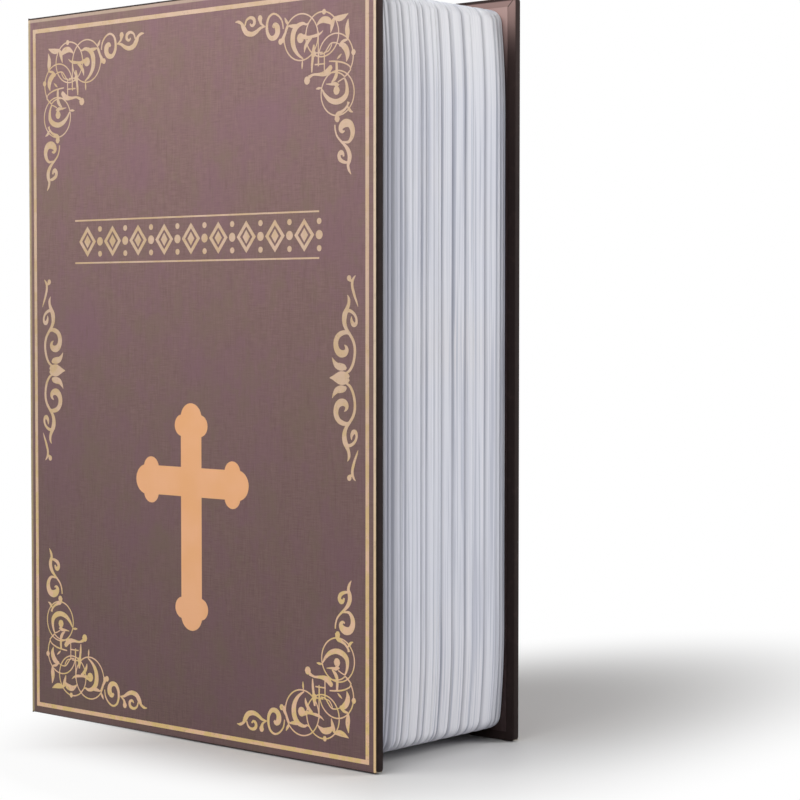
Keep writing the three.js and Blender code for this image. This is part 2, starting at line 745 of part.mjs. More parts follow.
// The lid: raised panel, plain margin and a flange turned down on three sides, cut off along the hinge.
function lidPan() {
  const corner = boxCornerRadius + lidToBoxGap + sheetThickness;
  const blank = frameOf(lidSpineEdge - corner - overrun, lidFore, lidTail, lidHead);
  const inside = drawnIn(blank, sheetThickness);
  const foot = frameOf(lidSpineEdge + hingeMargin, panelFore, lidTail + lidMargin, lidHead - lidMargin);
  const top = drawnIn(foot, panelSlope);
  const under = sheetThickness * Math.tan(Math.atan2(panelRise, panelSlope) / 2);
  const footCorner = corner - lidMargin / 2;
  const rings = [
    ringAt(top, footCorner - panelSlope, lidPanelFace),
    ringAt(foot, footCorner, lidFace),
    ...bendRings(blank, corner, lidBendRadius, lidFace, 1),
    ringAt(blank, corner, flangeBack),
    ringAt(inside, corner - sheetThickness, flangeBack),
    ...bendRings(inside, corner - sheetThickness, lidBendRadius - sheetThickness, lidInner, 1).reverse(),
    ringAt(drawnIn(foot, under), footCorner, lidInner),
    ringAt(drawnIn(top, under), footCorner - panelSlope, lidPanelInner),
  ];
  const behind = flangeBack + overrun;
  const trimmed = [blank.spine - overrun, lidSpineEdge, lidPanelFace - overrun, behind];
  let pan = skinThrough(rings, roundedOutline(top, footCorner - panelSlope)).subtract(
    block(...trimmed, lidTail - overrun, lidHead + overrun),
  );
  const lockHole = doubleD(turningGap, lidPanelFace - overrun, lidPanelInner + overrun);
  pan = pan.subtract(lockHole.translate([lockX, 0, middleHeight]));
  for (const z of leafRivetHeights) {
    const hole = disc(rivetRadius + turningGap, lidFace - overrun, lidInner + overrun, smallSides, "y");
    pan = pan.subtract(hole.translate([lidRivetX, 0, z]));
  }
  return piece("lid_pan", pan, powderCoat);
}

// The lock's pieces are drawn about their own axis and placed together.
function lockHousing() {
  const recess = plugHeadRadius + turningGap;
  const bore = plugRadius + turningGap;
  const seat = plugShoulder + turningGap;
  const bezel = turned(
    [
      [0, lidPanelFace],
      [bezelRadius, lidPanelFace],
      [bezelRadius, lidPanelFace - bezelRim],
      [bezelLipRadius, bezelFront],
      [0, bezelFront],
    ],
    roundSides,
    "y",
  );
  const housing = bezel
    .add(doubleD(0, lidPanelFace, barrelBack))
    .subtract(disc(recess, bezelFront - overrun, seat, roundSides, "y"))
    .subtract(disc(bore, bezelFront, barrelBack + overrun, roundSides, "y"));
  return piece("lock_housing", housing, chrome);
}

function lockWasher() {
  const teeth = Array.from({ length: 2 * washerTeeth }, (_, i) => {
    const radius = washerRadius - (i % 2) * washerToothDepth;
    const angle = (Math.PI * i) / washerTeeth;
    return new THREE.Vector2(radius * Math.cos(angle), radius * Math.sin(angle));
  });
  const shape = new THREE.Shape(teeth);
  const back = lidPanelInner + washerThickness;
  const hole = disc(barrelRadius + turningGap, lidPanelInner - overrun, back + overrun, roundSides, "y");
  return piece("lock_washer", plate(shape, lidPanelInner, back).subtract(hole), zincSteel);
}

function lockNut() {
  const front = lidPanelInner + washerThickness;
  const back = front + nutThickness;
  const corner = nutAcrossFlats / 2 / Math.cos(Math.PI / 6);
  const hole = disc(barrelRadius + turningGap, front - overrun, back + overrun, roundSides, "y");
  return piece("lock_nut", disc(corner, front, back, 6, "y").subtract(hole), zincSteel);
}

// The wafers' depths behind the plug's shoulder.
const waferFronts = Array.from({ length: waferCount }, (_, i) => plugShoulder + waferStart + i * waferPitch);

function lockPlug() {
  const tangBack = camBack - turningGap;
  const reach = plugRadius + overrun;
  let plug = disc(plugHeadRadius, plugFront, plugShoulder, roundSides, "y")
    .add(disc(plugRadius, plugShoulder, camFront, roundSides, "y"))
    .add(block(-tangHalf, tangHalf, camFront, tangBack, -tangHalf, tangHalf));
  const dish = [
    [0, plugFront - overrun],
    [keyDishRadius, plugFront - overrun],
    [keyDishRadius, plugFront],
    [keySlotHeight / 2, plugFront + keyDishDepth],
    [keySlotHeight / 2, plugFront + keySlotDepth],
    [0, plugFront + keySlotDepth],
  ];
  const slotX = keySlotWidth / 2;
  const slotZ = keySlotHeight / 2;
  plug = plug
    .subtract(turned(dish, smallSides, "y"))
    .subtract(block(-slotX, slotX, plugFront - overrun, plugFront + keySlotDepth, -slotZ, slotZ));
  const slotHalf = waferHalfHeight + turningGap;
  for (const front of waferFronts) {
    const back = front + waferThickness + turningGap;
    plug = plug.subtract(block(-reach, reach, front - turningGap, back, -slotHalf, slotHalf));
  }
  const screwEnd = camBack + camWasherThickness - camScrewLength - turningGap;
  const screwHole = disc(camScrewRadius + turningGap, screwEnd, tangBack + overrun, smallSides, "y");
  return piece("lock_plug", plug.subtract(screwHole), satinNickel);
}

// Flat wafers with a window for the key, one in each slot of the plug.
function lockWafers() {
  const holeX = waferHalfWidth - waferBar;
  const holeZ = waferHalfHeight - 2 * waferBar;
  return waferFronts.map((front, i) => {
    const back = front + waferThickness;
    const solid = block(-waferHalfWidth, waferHalfWidth, front, back, -waferHalfHeight, waferHalfHeight);
    const window = block(-holeX, holeX, front - overrun, back + overrun, -holeZ, holeZ);
    return piece("lock_wafer_" + (i + 1), solid.subtract(window), brass);
  });
}

// The cam hangs down when the lock is open. Its hub sits on the plug's square tang.
function lockCam() {
  const arm = new THREE.Shape();
  const tip = camLength - camHalfWidth;
  arm.moveTo(camHalfWidth, 0);
  arm.lineTo(-camHalfWidth, 0);
  arm.lineTo(-camHalfWidth, -tip);
  arm.absarc(0, -tip, camHalfWidth, Math.PI, 2 * Math.PI, false);
  arm.closePath();
  const half = tangHalf + turningGap;
  const cam = plate(arm, camFront, camBack)
    .add(disc(camHubRadius, camFront, camBack, roundSides, "y"))
    .subtract(block(-half, half, camFront - overrun, camBack + overrun, -half, half));
  return piece("lock_cam", cam, zincSteel);
}

function camFixings() {
  const washerBack = camBack + camWasherThickness;
  const hole = disc(camScrewRadius + turningGap, camBack - overrun, washerBack + overrun, smallSides, "y");
  const washer = disc(camWasherRadius, camBack, washerBack, roundSides, "y").subtract(hole);
  const screw = turned(
    [
      [0, washerBack - camScrewLength],
      [camScrewRadius, washerBack - camScrewLength],
      [camScrewRadius, washerBack],
      [camScrewHeadRadius, washerBack],
      [camScrewHeadRadius, washerBack + camScrewHeadHeight / 2],
      [camScrewHeadRadius / 2, washerBack + camScrewHeadHeight],
      [0, washerBack + camScrewHeadHeight],
    ],
    smallSides,
    "y",
  );
  return [piece("cam_washer", washer, zincSteel), piece("cam_screw", screw, zincSteel)];
}

function group(...pieces) {
  const made = new THREE.Group();
  made.add(...pieces);
  return made;
}

const book = group(
  group(...coverPieces("back", backFace, backBoardFace, backBoardFront, backCoverFront, backPaperFace)),
  group(...spinePieces(), frontFold()),
  group(pageShell(), ...pageScrews()),
  group(boxBody(), ...pads(), bodyLeaf(), hingePin(), ...bodyLeafRivets(), ...strikePieces()),
);

const frontCover = group(
  ...coverPieces("front", frontFace, frontBoardFace, frontBoardBack, frontCoverBack, frontPaperFace),
);

const turningLock = group(lockPlug(), ...lockWafers(), lockCam(), ...camFixings());
const lock = group(lockHousing(), lockWasher(), lockNut(), turningLock);
lock.position.set(lockX, 0, middleHeight);

const lid = group(lidPan(), lidLeaf(), ...lidLeafRivets(), lock);

export default group(book, frontCover, lid);
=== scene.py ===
import json
import math

import bmesh
import bpy
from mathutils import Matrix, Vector


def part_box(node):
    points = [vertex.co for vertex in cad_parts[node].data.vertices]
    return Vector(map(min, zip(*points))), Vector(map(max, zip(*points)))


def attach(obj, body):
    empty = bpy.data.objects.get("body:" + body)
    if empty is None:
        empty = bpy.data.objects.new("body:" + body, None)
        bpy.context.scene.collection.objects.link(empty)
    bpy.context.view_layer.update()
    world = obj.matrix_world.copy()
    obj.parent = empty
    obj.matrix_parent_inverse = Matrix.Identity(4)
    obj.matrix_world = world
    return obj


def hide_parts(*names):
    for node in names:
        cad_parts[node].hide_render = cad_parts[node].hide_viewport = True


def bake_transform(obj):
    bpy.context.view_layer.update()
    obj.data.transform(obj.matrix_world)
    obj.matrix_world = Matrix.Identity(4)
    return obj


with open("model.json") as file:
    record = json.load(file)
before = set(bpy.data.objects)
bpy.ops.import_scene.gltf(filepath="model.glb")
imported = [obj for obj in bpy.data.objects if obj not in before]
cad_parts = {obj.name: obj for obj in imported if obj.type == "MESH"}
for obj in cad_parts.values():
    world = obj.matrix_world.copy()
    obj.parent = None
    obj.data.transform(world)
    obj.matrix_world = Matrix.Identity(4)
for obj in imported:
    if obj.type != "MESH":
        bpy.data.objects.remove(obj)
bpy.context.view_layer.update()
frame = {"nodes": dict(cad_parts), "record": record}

nodes = frame["nodes"]
mm = 0.001
print("frame loaded:", len(nodes), "CAD nodes")


def pickSocket(sockets, key):
    if isinstance(key, int):
        return sockets[key]
    for socket in sockets:
        if socket.identifier == key:
            return socket
    return sockets[key]


class Wire:
    # an output of a node tree; arithmetic on it adds Math nodes
    def __init__(self, tree, socket):
        self.tree = tree
        self.socket = socket

    def maths(self, operation, *values):
        return self.tree.node("ShaderNodeMath", {"operation": operation}, dict(enumerate(values)))

    def __add__(self, other):
        return self.maths("ADD", self, other)

    def __sub__(self, other):
        return self.maths("SUBTRACT", self, other)

    def __rsub__(self, other):
        return self.maths("SUBTRACT", other, self)

    def __mul__(self, other):
        return self.maths("MULTIPLY", self, other)

    def __pow__(self, other):
        return self.maths("POWER", self, other)

    def __neg__(self):
        return self.maths("MULTIPLY", self, -1.0)

    def size(self):
        return self.maths("ABSOLUTE", self)

    def least(self, other):
        return self.maths("MINIMUM", self, other)

    def most(self, other):
        return self.maths("MAXIMUM", self, other)

    def ease(self, low, high, fromValue=0.0, toValue=1.0):
        # runs smoothly from one value to the other as this wire passes from low to high
        sockets = {"Value": self, "From Min": low, "From Max": high, "To Min": fromValue, "To Max": toValue}
        return self.tree.node("ShaderNodeMapRange", {"interpolation_type": "SMOOTHSTEP"}, sockets)

    def mask(self, *limits):
        # limits are (low, high), (low, high, strength) or (strength,) alone
        eased = self.ease(*limits[:2]) if len(limits) > 1 else self
        return eased if len(limits) == 2 else eased * limits[-1]


class Tree:
    # adds nodes to a shader or geometry tree, one call each
    def __init__(self, nodeTree):
        self.made = nodeTree

    def node(self, kind, settings=None, sockets=None, out=0):
        node = self.made.nodes.new(kind)
        for name, value in (settings or {}).items():
            setattr(node, name, value)
        for key, value in (sockets or {}).items():
            socket = pickSocket(node.inputs, key)
            if isinstance(value, Wire):
                self.made.links.new(value.socket, socket)
            else:
                socket.default_value = value
        return Wire(self, pickSocket(node.outputs, out)) if len(node.outputs) else None

    def axes(self, vector):
        return [self.node("ShaderNodeSeparateXYZ", {}, {"Vector": vector}, out) for out in "XYZ"]

    def vector(self, x, y, z):
        return self.node("ShaderNodeCombineXYZ", {}, {"X": x, "Y": y, "Z": z})

    def stretched(self, vector, factors, shift=(0, 0, 0)):
        return self.node("ShaderNodeMapping", {}, {"Vector": vector, "Scale": factors, "Location": shift})

    def noise(self, vector, scale, detail, roughness):
        sockets = {"Vector": vector, "Scale": scale, "Detail": detail, "Roughness": roughness}
        return self.node("ShaderNodeTexNoise", {}, sockets, "Fac")

    def cells(self, vector, scale, out):
        return self.node("ShaderNodeTexVoronoi", {}, {"Vector": vector, "Scale": scale}, out)

    def mix(self, factor, first, second, blend="MIX"):
        sockets = {"Factor_Float": factor, "A_Color": first, "B_Color": second}
        return self.node("ShaderNodeMix", {"data_type": "RGBA", "blend_type": blend}, sockets, "Result_Color")

    def patterns(self, place, look):
        # a look's patterns by name; a noise row is its scale, detail, roughness, then any stretch and shift
        fields = {}
        for name, (scale, detail, roughness, *stretch) in look.get("noise", {}).items():
            where = self.stretched(place, *stretch) if stretch else place
            fields[name] = self.noise(where, scale, detail, roughness)
        for name, scale in look.get("pores", {}).items():
            fields[name] = self.cells(place, scale, "Distance")
        for name, scale in look.get("spangles", {}).items():
            sockets = {"Color": self.cells(place, scale, "Color")}
            fields[name] = self.node("ShaderNodeSeparateColor", {}, sockets)
        return fields

    def layered(self, look, fields, colour):
        # colours over one another; a row is the colour, the pattern that masks it and the mask's limits
        for name, field, *limits in look["layers"]:
            colour = self.mix(fields[field].mask(*limits), colour, look[name])
        return colour


def paint(red, green, blue):
    # a colour as seen on screen, 0 to 255, as the linear colour that a shader takes
    def linear(value):
        value /= 255
        return value / 12.92 if value <= 0.04045 else ((value + 0.055) / 1.055) ** 2.4
    return (linear(red), linear(green), linear(blue), 1.0)


def emptied(owner):
    # a material's or world's own node tree, cleared
    owner.use_nodes = True
    owner.node_tree.nodes.clear()
    return Tree(owner.node_tree)


def summed(fields, shares):
    # the named patterns, each times its share, added up
    terms = [fields[name] if share == 1 else fields[name] * share for name, share in shares.items()]
    total = terms[0]
    for term in terms[1:]:
        total = total + term
    return total


def shade(name, look, colouring=None):
    # a Principled material; colouring adds to the layers what follows the piece's own form
    material = bpy.data.materials.new(name)
    tree = emptied(material)
    place = tree.node("ShaderNodeTexCoord", out="Object")
    fields = tree.patterns(place, look)
    base = colouring(tree, place, fields) if colouring else tree.layered(look, fields, look["base"])
    sockets = {"Base Color": base, **look.get("fixed", {})}
    if "gloss" in look:
        shares, level = look["gloss"]
        sockets["Roughness"] = summed(fields, shares) + level
    if "relief" in look:
        shares, depth, strength = look["relief"]
        bump = {"Height": summed(fields, shares), "Distance": depth, "Strength": strength}
        sockets["Normal"] = tree.node("ShaderNodeBump", {}, bump)
    surface = tree.node("ShaderNodeBsdfPrincipled", {}, sockets)
    tree.node("ShaderNodeOutputMaterial", {}, {"Surface": surface})
    return material


# two sets of threads: one runs across the cover, the other up it
threads, slubs = 1 / 0.0003, 1 / 0.005     # to the metre
weave = {
    "across": (1.0, 2.0, 0.6, (slubs, slubs, threads)),
    "along": (1.0, 2.0, 0.6, (threads, threads, slubs), (3, 7, 5)),
}
weaveDepth = 0.00004

# limits with no pattern's name are places on the book, in metres
coverLook = {
    "print": paint(132, 105, 103), "printDark": paint(116, 91, 89), "printLight": paint(144, 117, 114),
    "plum": paint(133, 101, 111), "olive": paint(128, 108, 96),
    # the edges' worn colour also serves as painted light towards the head; the pink is painted light on the
    # paper towards the head
    "edge": paint(35, 25, 24), "edgeWornAndLit": paint(72, 56, 53), "headLitPaper": paint(190, 158, 152),
    # the pale edge lines' colours: partly print, partly painted highlight; the spine's line is painted
    # highlight
    "edgeLine": paint(223, 201, 175), "edgeLineTail": paint(231, 199, 152), "spineHighlight": paint(208, 192, 146),
    "noise": {
        **weave, "blotch": (28.0, 3.0, 0.55), "cloudy": (45.0, 3.0, 0.6, (1, 1, 1), (0.4, 0.1, 0.7)),
        "marble": (130.0, 3.0, 0.6, (1, 1, 0.7)), "slub": (1.0, 1.0, 0.5, (140, 140, 2600)),
        "rubbed": (1.0, 2.0, 0.6, (700, 700, 110)), "speck": (950.0, 1.0, 0.5),
        "lineWear": (500.0, 3.0, 0.6), "edgeRub": (260.0, 4.0, 0.6),
    },
    "layers": [
        ("plum", "blotch", 0.45, 0.7, 0.55), ("olive", "cloudy", 0.5, 0.72, 0.45),
        ("plum", "marble", 0.52, 0.62, 0.35), ("olive", "betweenMarble", 0.55, 0.66, 0.4),
        ("printDark", "slub", 0.66, 0.76, 0.35), ("printDark", "rubbed", 0.62, 0.7, 0.3),
        ("printLight", "speck", 0.73, 0.78, 0.45),
    ],
    "weaveShares": {"across": 0.55, "along": 0.45}, "weaveLimits": (0.3, 0.7), "printShare": 0.35,
    # painted light and shade by height: from, to, factor at the tail, factor at the head
    "paintedShading": (-0.02, 0.27, 0.66, 1.10),
    "faceDepth": (0.0343, 0.0346), "spineDepth": (0.0793, 0.0796), "foreEnd": (0.0794, 0.0796),
    "tailEnd": (0.0002, 0.0004), "headEnd": (0.2392, 0.2395),
    "foreLine": (0.07845, 0.0787), "headLine": (0.23815, 0.23845, 0.45), "lineWear": (0.1, 0.5, 0.6, 1.0),
    "spineLine": (0.0783, 0.0795), "spineLineFace": (0.0346, 0.0348), "spineLineShare": 0.62,
    "lineTail": (0.02, 0.12), "edgeRub": (0.5, 0.75, 0.25), "edgeUpper": (0.17, 0.24, 0.35),
    "turnInDepth": (0.0321, 0.0323, 1.0, 0.0), "turnInStart": (-0.0768, -0.0765),
    "turnInHead": (0.2387, 0.2392), "backHalf": (0.0, 0.001), "headLightZone": (0.215, 0.2395),
    "headLightZoneShare": 0.6, "mitre": (0.0001, 0.00035, 1.0, 0.0), "mitreShare": 0.8,
    "foreEdge": 0.08, "height": 0.24,
    "gloss": ({"across": 0.12, "inside": 0.32}, 0.42), "fixed": {"Specular IOR Level": 0.16},
    "relief": ({"across": 1, "along": 1}, weaveDepth, 0.8),
}


def coverColour(tree, place, fields):
    # printed cloth, with painted shade towards the tail and painted light towards the head; pale patchy lines
    # of painted highlight along its edges outside, partly also print; dark paper at the edges and turn-ins,
    # with painted light towards the head
    look = coverLook
    x, y, z = tree.axes(place)
    fields["betweenMarble"] = 1 - fields["marble"]
    threadMask = summed(fields, look["weaveShares"]).mask(*look["weaveLimits"])
    cloth = tree.mix(threadMask, look["printDark"], look["printLight"])
    cloth = tree.layered(look, fields, tree.mix(look["printShare"], cloth, look["print"]))
    # painted light and shade: the cloth is multiplied darker towards the tail and lighter towards the head
    paintedShading = dict.fromkeys(range(3), z.ease(*look["paintedShading"]))
    cloth = tree.mix(1.0, cloth, tree.node("ShaderNodeCombineColor", {}, paintedShading), "MULTIPLY")
    lineWear = fields["lineWear"].ease(*look["lineWear"])
    # a painted highlight where the rounded spine edge catches light, made patchy by noise
    spineLine = (-x).mask(*look["spineLine"]) * y.size().mask(*look["spineLineFace"]) * look["spineLineShare"]
    cloth = tree.mix(spineLine * lineWear, cloth, look["spineHighlight"])
    # pale lines along the fore-edge and the head: partly a printed line, partly painted highlight where the
    # rounded edge catches light, made patchy by noise
    lineColour = tree.mix(z.mask(*look["lineTail"]), look["edgeLineTail"], look["edgeLine"])
    lines = x.mask(*look["foreLine"]).most(z.mask(*look["headLine"]))
    cloth = tree.mix(lines * lineWear, cloth, lineColour)
    outside = y.size().mask(*look["faceDepth"]).most((-x).mask(*look["spineDepth"]))
    outside = outside * (1 - x.mask(*look["foreEnd"]))
    outside = outside * z.mask(*look["tailEnd"]) * (1 - z.mask(*look["headEnd"]))
    turnIn = y.size().ease(*look["turnInDepth"]) * x.mask(*look["turnInStart"])
    turnIn = turnIn * (1 - z.mask(*look["turnInHead"])) * y.mask(*look["backHalf"])
    paper = tree.mix(fields["edgeRub"].mask(*look["edgeRub"]), look["edge"], look["edgeWornAndLit"])
    # painted light: the edges and turn-ins grow lighter towards the head
    paper = tree.mix(z.mask(*look["edgeUpper"]), paper, look["edgeWornAndLit"])
    # painted light on the back cover's turn-ins towards the head
    paper = tree.mix(turnIn * z.mask(*look["headLightZone"]) ** 2.0 * look["headLightZoneShare"], paper, look["headLitPaper"])
    mitre = ((look["foreEdge"] - x) - z.least(look["height"] - z)).size().ease(*look["mitre"])
    paper = tree.mix(mitre * turnIn * look["mitreShare"], paper, look["edge"])
    fields["inside"] = 1 - outside
    return tree.mix(outside, paper, cloth)


giltLook = {
    "base": paint(206, 178, 151), "deep": paint(200, 170, 132), "rosy": paint(217, 184, 165),
    "worn": paint(156, 126, 104), "tail": paint(230, 198, 128), "tailRosy": paint(238, 194, 156),
    "noise": {**weave, "patch": (240.0, 3.0, 0.6), "rose": (130.0, 2.0, 0.5), "speck": (900.0, 2.0, 0.7)},
    "layers": [("deep", "patch", 0.38, 0.62), ("rosy", "rose", 0.5, 0.68, 0.55)],
    "foreSide": (-0.07, 0.08), "upperPart": (0.06, 0.2), "foreRose": 0.3,
    "tailPatch": (0.42, 0.58), "tailPart": (0.0, 0.15, 0.8, 0.0),
    "specks": (0.62, 0.72, 0.35), "weaveWear": (0.1, 0.2), "weaveWearShare": 0.2,
    "gloss": ({"patch": 0.1}, 0.38), "relief": ({"across": 1, "along": 1}, weaveDepth, 0.6),
}


def giltColour(tree, place, fields):
    # rosier towards the fore-edge and the head, yellower at the tail, rubbed off the high threads
    look = giltLook
    x, _, z = tree.axes(place)
    colour = tree.layered(look, fields, look["base"])
    rose = x.mask(*look["foreSide"]) * z.mask(*look["upperPart"]) * look["foreRose"]
    colour = tree.mix(rose, colour, look["rosy"])
    tail = tree.mix(fields["patch"].mask(*look["tailPatch"]), look["tailRosy"], look["tail"])
    colour = tree.mix(z.ease(*look["tailPart"]), colour, tail)
    kept = (fields["across"] * fields["along"]).mask(*look["weaveWear"])
    worn = fields["speck"].mask(*look["specks"]) + (1 - kept) * look["weaveWearShare"]
    return tree.mix(worn, colour, look["worn"])


crossLook = {
    "base": paint(239, 180, 130), "rosy": paint(240, 178, 136), "deep": paint(233, 168, 112),
    "noise": {**weave, "patch": (55.0, 2.0, 0.5)}, "patches": (0.35, 0.65), "baseShare": 0.5,
    "weaveLimits": (0.8, 1.2, 0.12),
    "gloss": ({"patch": 0.1}, 0.4), "relief": ({"across": 1, "along": 1}, weaveDepth, 0.5),
}


def crossColour(tree, place, fields):
    look = crossLook
    colour = tree.mix(fields["patch"].mask(*look["patches"]), look["rosy"], look["deep"])
    colour = tree.mix(look["baseShare"], colour, look["base"])
    return tree.mix((fields["across"] + fields["along"]).mask(*look["weaveLimits"]), colour, look["deep"])


paperLook = {
    "base": paint(52, 40, 40), "fibre": paint(70, 55, 54), "headLitPaper": paint(196, 164, 158),
    "noise": {"grain": (900.0, 3.0, 0.6, (1, 1, 0.35)), "cloud": (18.0, 2.0, 0.5)},
    "layers": [("fibre", "grain", 0.4, 0.75, 0.6), ("fibre", "cloud", 0.4, 0.7, 0.25)],
    "headLightZone": (0.205, 0.2385), "headLightZonePower": 2.2, "backHalf": (0.0, 0.001), "headLightZoneShare": 0.8,
    "gloss": ({"grain": 0.15}, 0.35), "fixed": {"Specular IOR Level": 0.2},
    "relief": ({"grain": 1}, 0.00003, 0.6),
}


def paperColour(tree, place, fields):
    # painted light on the back endpaper, which grows lighter towards the head of the book
    look = paperLook
    _, y, z = tree.axes(place)
    headLightZone = z.mask(*look["headLightZone"]) ** look["headLightZonePower"] * y.mask(*look["backHalf"]) * look["headLightZoneShare"]
    return tree.mix(headLightZone, tree.layered(look, fields, look["base"]), look["headLitPaper"])


pageLook = {
    "base": paint(224, 226, 236), "warm": paint(231, 228, 229), "groove": paint(160, 161, 174),
    "head": paint(238, 237, 238), "leafLine": paint(186, 189, 204), "crest": paint(236, 237, 243),
    "noise": {
        "cloud": (20.0, 2.0, 0.5), "skin": (2200.0, 2.0, 0.5),
        "fineLeaves": (1.0, 1.0, 0.5, (14, 2300.0, 14)),
        "wideLeaves": (1.0, 2.0, 0.6, (9, 760.0, 9), (2, 5, 1)),
    },
    "layers": [
        ("warm", "cloud", 0.35, 0.7, 0.4), ("leafLine", "wideLeaves", 0.54, 0.64, 0.75),
        ("crest", "betweenLeaves", 0.58, 0.68, 0.5), ("leafLine", "fineLeaves", 0.54, 0.66, 0.55),
        # painted shade: the grooves are darker the more sunken they are
        ("groove", "sunken", 0.2, 1.0, 0.4),
    ],
    "frontLobe": (-0.0276, -0.027), "frontShadow": (-0.0285, -0.0165, 0.98, 0.0),
    "headLightStart": (0.2, 0.232), "headEnd": (0.2345, 0.2362), "headLightShare": 0.5,
    "tailShade": (0.0036, 0.0075, 0.5, 0.0),
    "gloss": ({"skin": 0.12}, 0.42), "fixed": {"Specular IOR Level": 0.25},
    "relief": ({"wideLeaves": 0.6, "fineLeaves": 0.35, "skin": 0.1}, 0.0001, 0.7),
}


def pageColour(tree, place, fields):
    # leaf lines in the moulding; painted shade in its grooves and at the tail, a painted shadow of the front
    # cover along the front lobes, painted light towards the head
    look = pageLook
    _, y, z = tree.axes(place)
    fields["betweenLeaves"] = 1 - fields["wideLeaves"]
    fields["sunken"] = tree.node("ShaderNodeAttribute", {"attribute_name": "sunken"}, out="Fac")
    colour = tree.layered(look, fields, look["base"])
    # a painted shadow of the front cover's overhang, kept off the first lobe
    colour = tree.mix(y.mask(*look["frontLobe"]) * y.ease(*look["frontShadow"]), colour, look["groove"])
    # painted light: whiter towards the head, stopping short of its top face
    head = z.mask(*look["headLightStart"]) * (1 - z.mask(*look["headEnd"])) * look["headLightShare"]
    colour = tree.mix(head, colour, look["head"])
    # painted shade along the tail of the block
    return tree.mix(z.ease(*look["tailShade"]), colour, look["groove"])


boardLook = {
    "base": paint(150, 142, 128), "dark": paint(112, 104, 92),
    "noise": {"plies": (1.0, 3.0, 0.6, (80, 2400, 80)), "fleck": (1800.0, 2.0, 0.5)},
    "layers": [("dark", "plies", 0.35, 0.65), ("dark", "fleck", 0.6, 0.7, 0.5)],
    "fixed": {"Roughness": 0.9}, "relief": ({"plies": 1}, 0.0001, 0.5),
}
coatLook = {
    "base": paint(60, 73, 71), "high": paint(70, 84, 81), "grit": paint(96, 111, 107),
    "noise": {"peel": (1500.0, 3.0, 0.55), "fine": (3800.0, 2.0, 0.5), "cloud": (30.0, 2.0, 0.5)},
    "layers": [
        ("high", "peel", 0.35, 0.65, 0.6), ("base", "cloud", 0.3, 0.8, 0.25),
        ("grit", "peel", 0.64, 0.72, 0.35),
    ],
    "gloss": ({"fine": 0.12}, 0.4), "fixed": {"Metallic": 0.1},
    "relief": ({"peel": 1, "fine": 0.2}, 0.00006, 0.6),
}
zincLook = {
    "base": paint(196, 198, 199), "dull": paint(158, 161, 164),
    "noise": {"brushed": (1.0, 2.0, 0.5, (200, 200, 5200))}, "spangles": {"spangle": 260.0},
    "layers": [("dull", "spangle", 0.4)], "gloss": ({"spangle": 0.12, "brushed": 0.16}, 0.22),
    "fixed": {"Metallic": 1.0}, "relief": ({"brushed": 1}, 0.00002, 0.5),
}
chromeLook = {
    "base": paint(228, 230, 233), "dull": paint(206, 209, 213),
    "noise": {"polish": (900.0, 3.0, 0.6), "smear": (140.0, 2.0, 0.5)},
    "layers": [("dull", "smear", 0.3)], "gloss": ({"polish": 0.05, "smear": 0.04}, 0.04),
    "fixed": {"Metallic": 1.0}, "relief": ({"polish": 1}, 0.000004, 0.3),
}
nickelLook = {
    "base": paint(176, 178, 178), "dull": paint(142, 144, 146),
    "noise": {"grain": (1.0, 2.0, 0.5, (3200, 400, 300)), "blast": (3800.0, 2.0, 0.5)},
    "layers": [("dull", "blast", 0.3, 0.7, 0.5)], "gloss": ({"grain": 0.1, "blast": 0.1}, 0.3),
    "fixed": {"Metallic": 1.0}, "relief": ({"blast": 1}, 0.00001, 0.5),
}
brassLook = {
    "base": paint(204, 172, 104), "dark": paint(168, 134, 74), "noise": {"grain": (2600.0, 2.0, 0.5)},
    "layers": [("dark", "grain", 0.3, 0.7)], "gloss": ({"grain": 0.15}, 0.28), "fixed": {"Metallic": 1.0},
}
foamLook = {
    "base": paint(132, 130, 124), "light": paint(205, 203, 195), "pores": {"pore": 1500.0},
    "layers": [("light", "pore", 0.2, 0.7)], "fixed": {"Roughness": 0.95},
    "relief": ({"pore": 1}, 0.00025, 0.8),
}
finishes = {
    "printed_cover": shade("printedCover", coverLook, coverColour),
    "greyboard": shade("greyboard", boardLook),
    "endpaper": shade("endpaper", paperLook, paperColour),
    "page_moulding": shade("pageMoulding", pageLook, pageColour),
    "powder_coat": shade("powderCoat", coatLook),
    "zinc_steel": shade("zincPlate", zincLook),
    "chrome_plate": shade("chromePlate", chromeLook),
    "satin_nickel": shade("satinNickel", nickelLook),
    "wafer_brass": shade("waferBrass", brassLook),
    "pad_foam": shade("padFoam", foamLook),
    "gilt": shade("giltFoil", giltLook, giltColour),
    "cross": shade("crossFoil", crossLook, crossColour),
}
print("finishes made:", len(finishes))


def angles(start, end, steps):
    return [start + (end - start) * step / steps for step in range(steps + 1)]


def fullTurn(sides):
    return angles(0, 2 * math.pi, sides)[:-1]


def arc(radius, turns, centre=(0, 0)):
    return [(centre[0] + radius * math.cos(turn), centre[1] + radius * math.sin(turn)) for turn in turns]


def rectangle(left, right, low, high):
    return [(left, low), (right, low), (right, high), (left, high)]


def ringAt(points, place, axis="z", centre=(0, 0, 0)):
    # a ring in metres: points of the other two axes, in mm, at a place along this one
    ring = []
    for point in points:
        spot = list(point)
        spot.insert("xyz".index(axis), place)
        ring.append([(value + offset) * mm for value, offset in zip(spot, centre)])
    return ring


def ringsAt(points, places, axis="z"):
    return [ringAt(points, place, axis) for place in places]


def blockRings(low, high):
    return ringsAt(rectangle(low[0], high[0], low[1], high[1]), (low[2], high[2]))


def turnedRings(profile, sides, centre=(0, 0, 0), axis="z"):
    # rings for a profile of (radius, place) turned about an axis
    return [ringAt(arc(radius, fullTurn(sides)), along, axis, centre) for radius, along in profile]


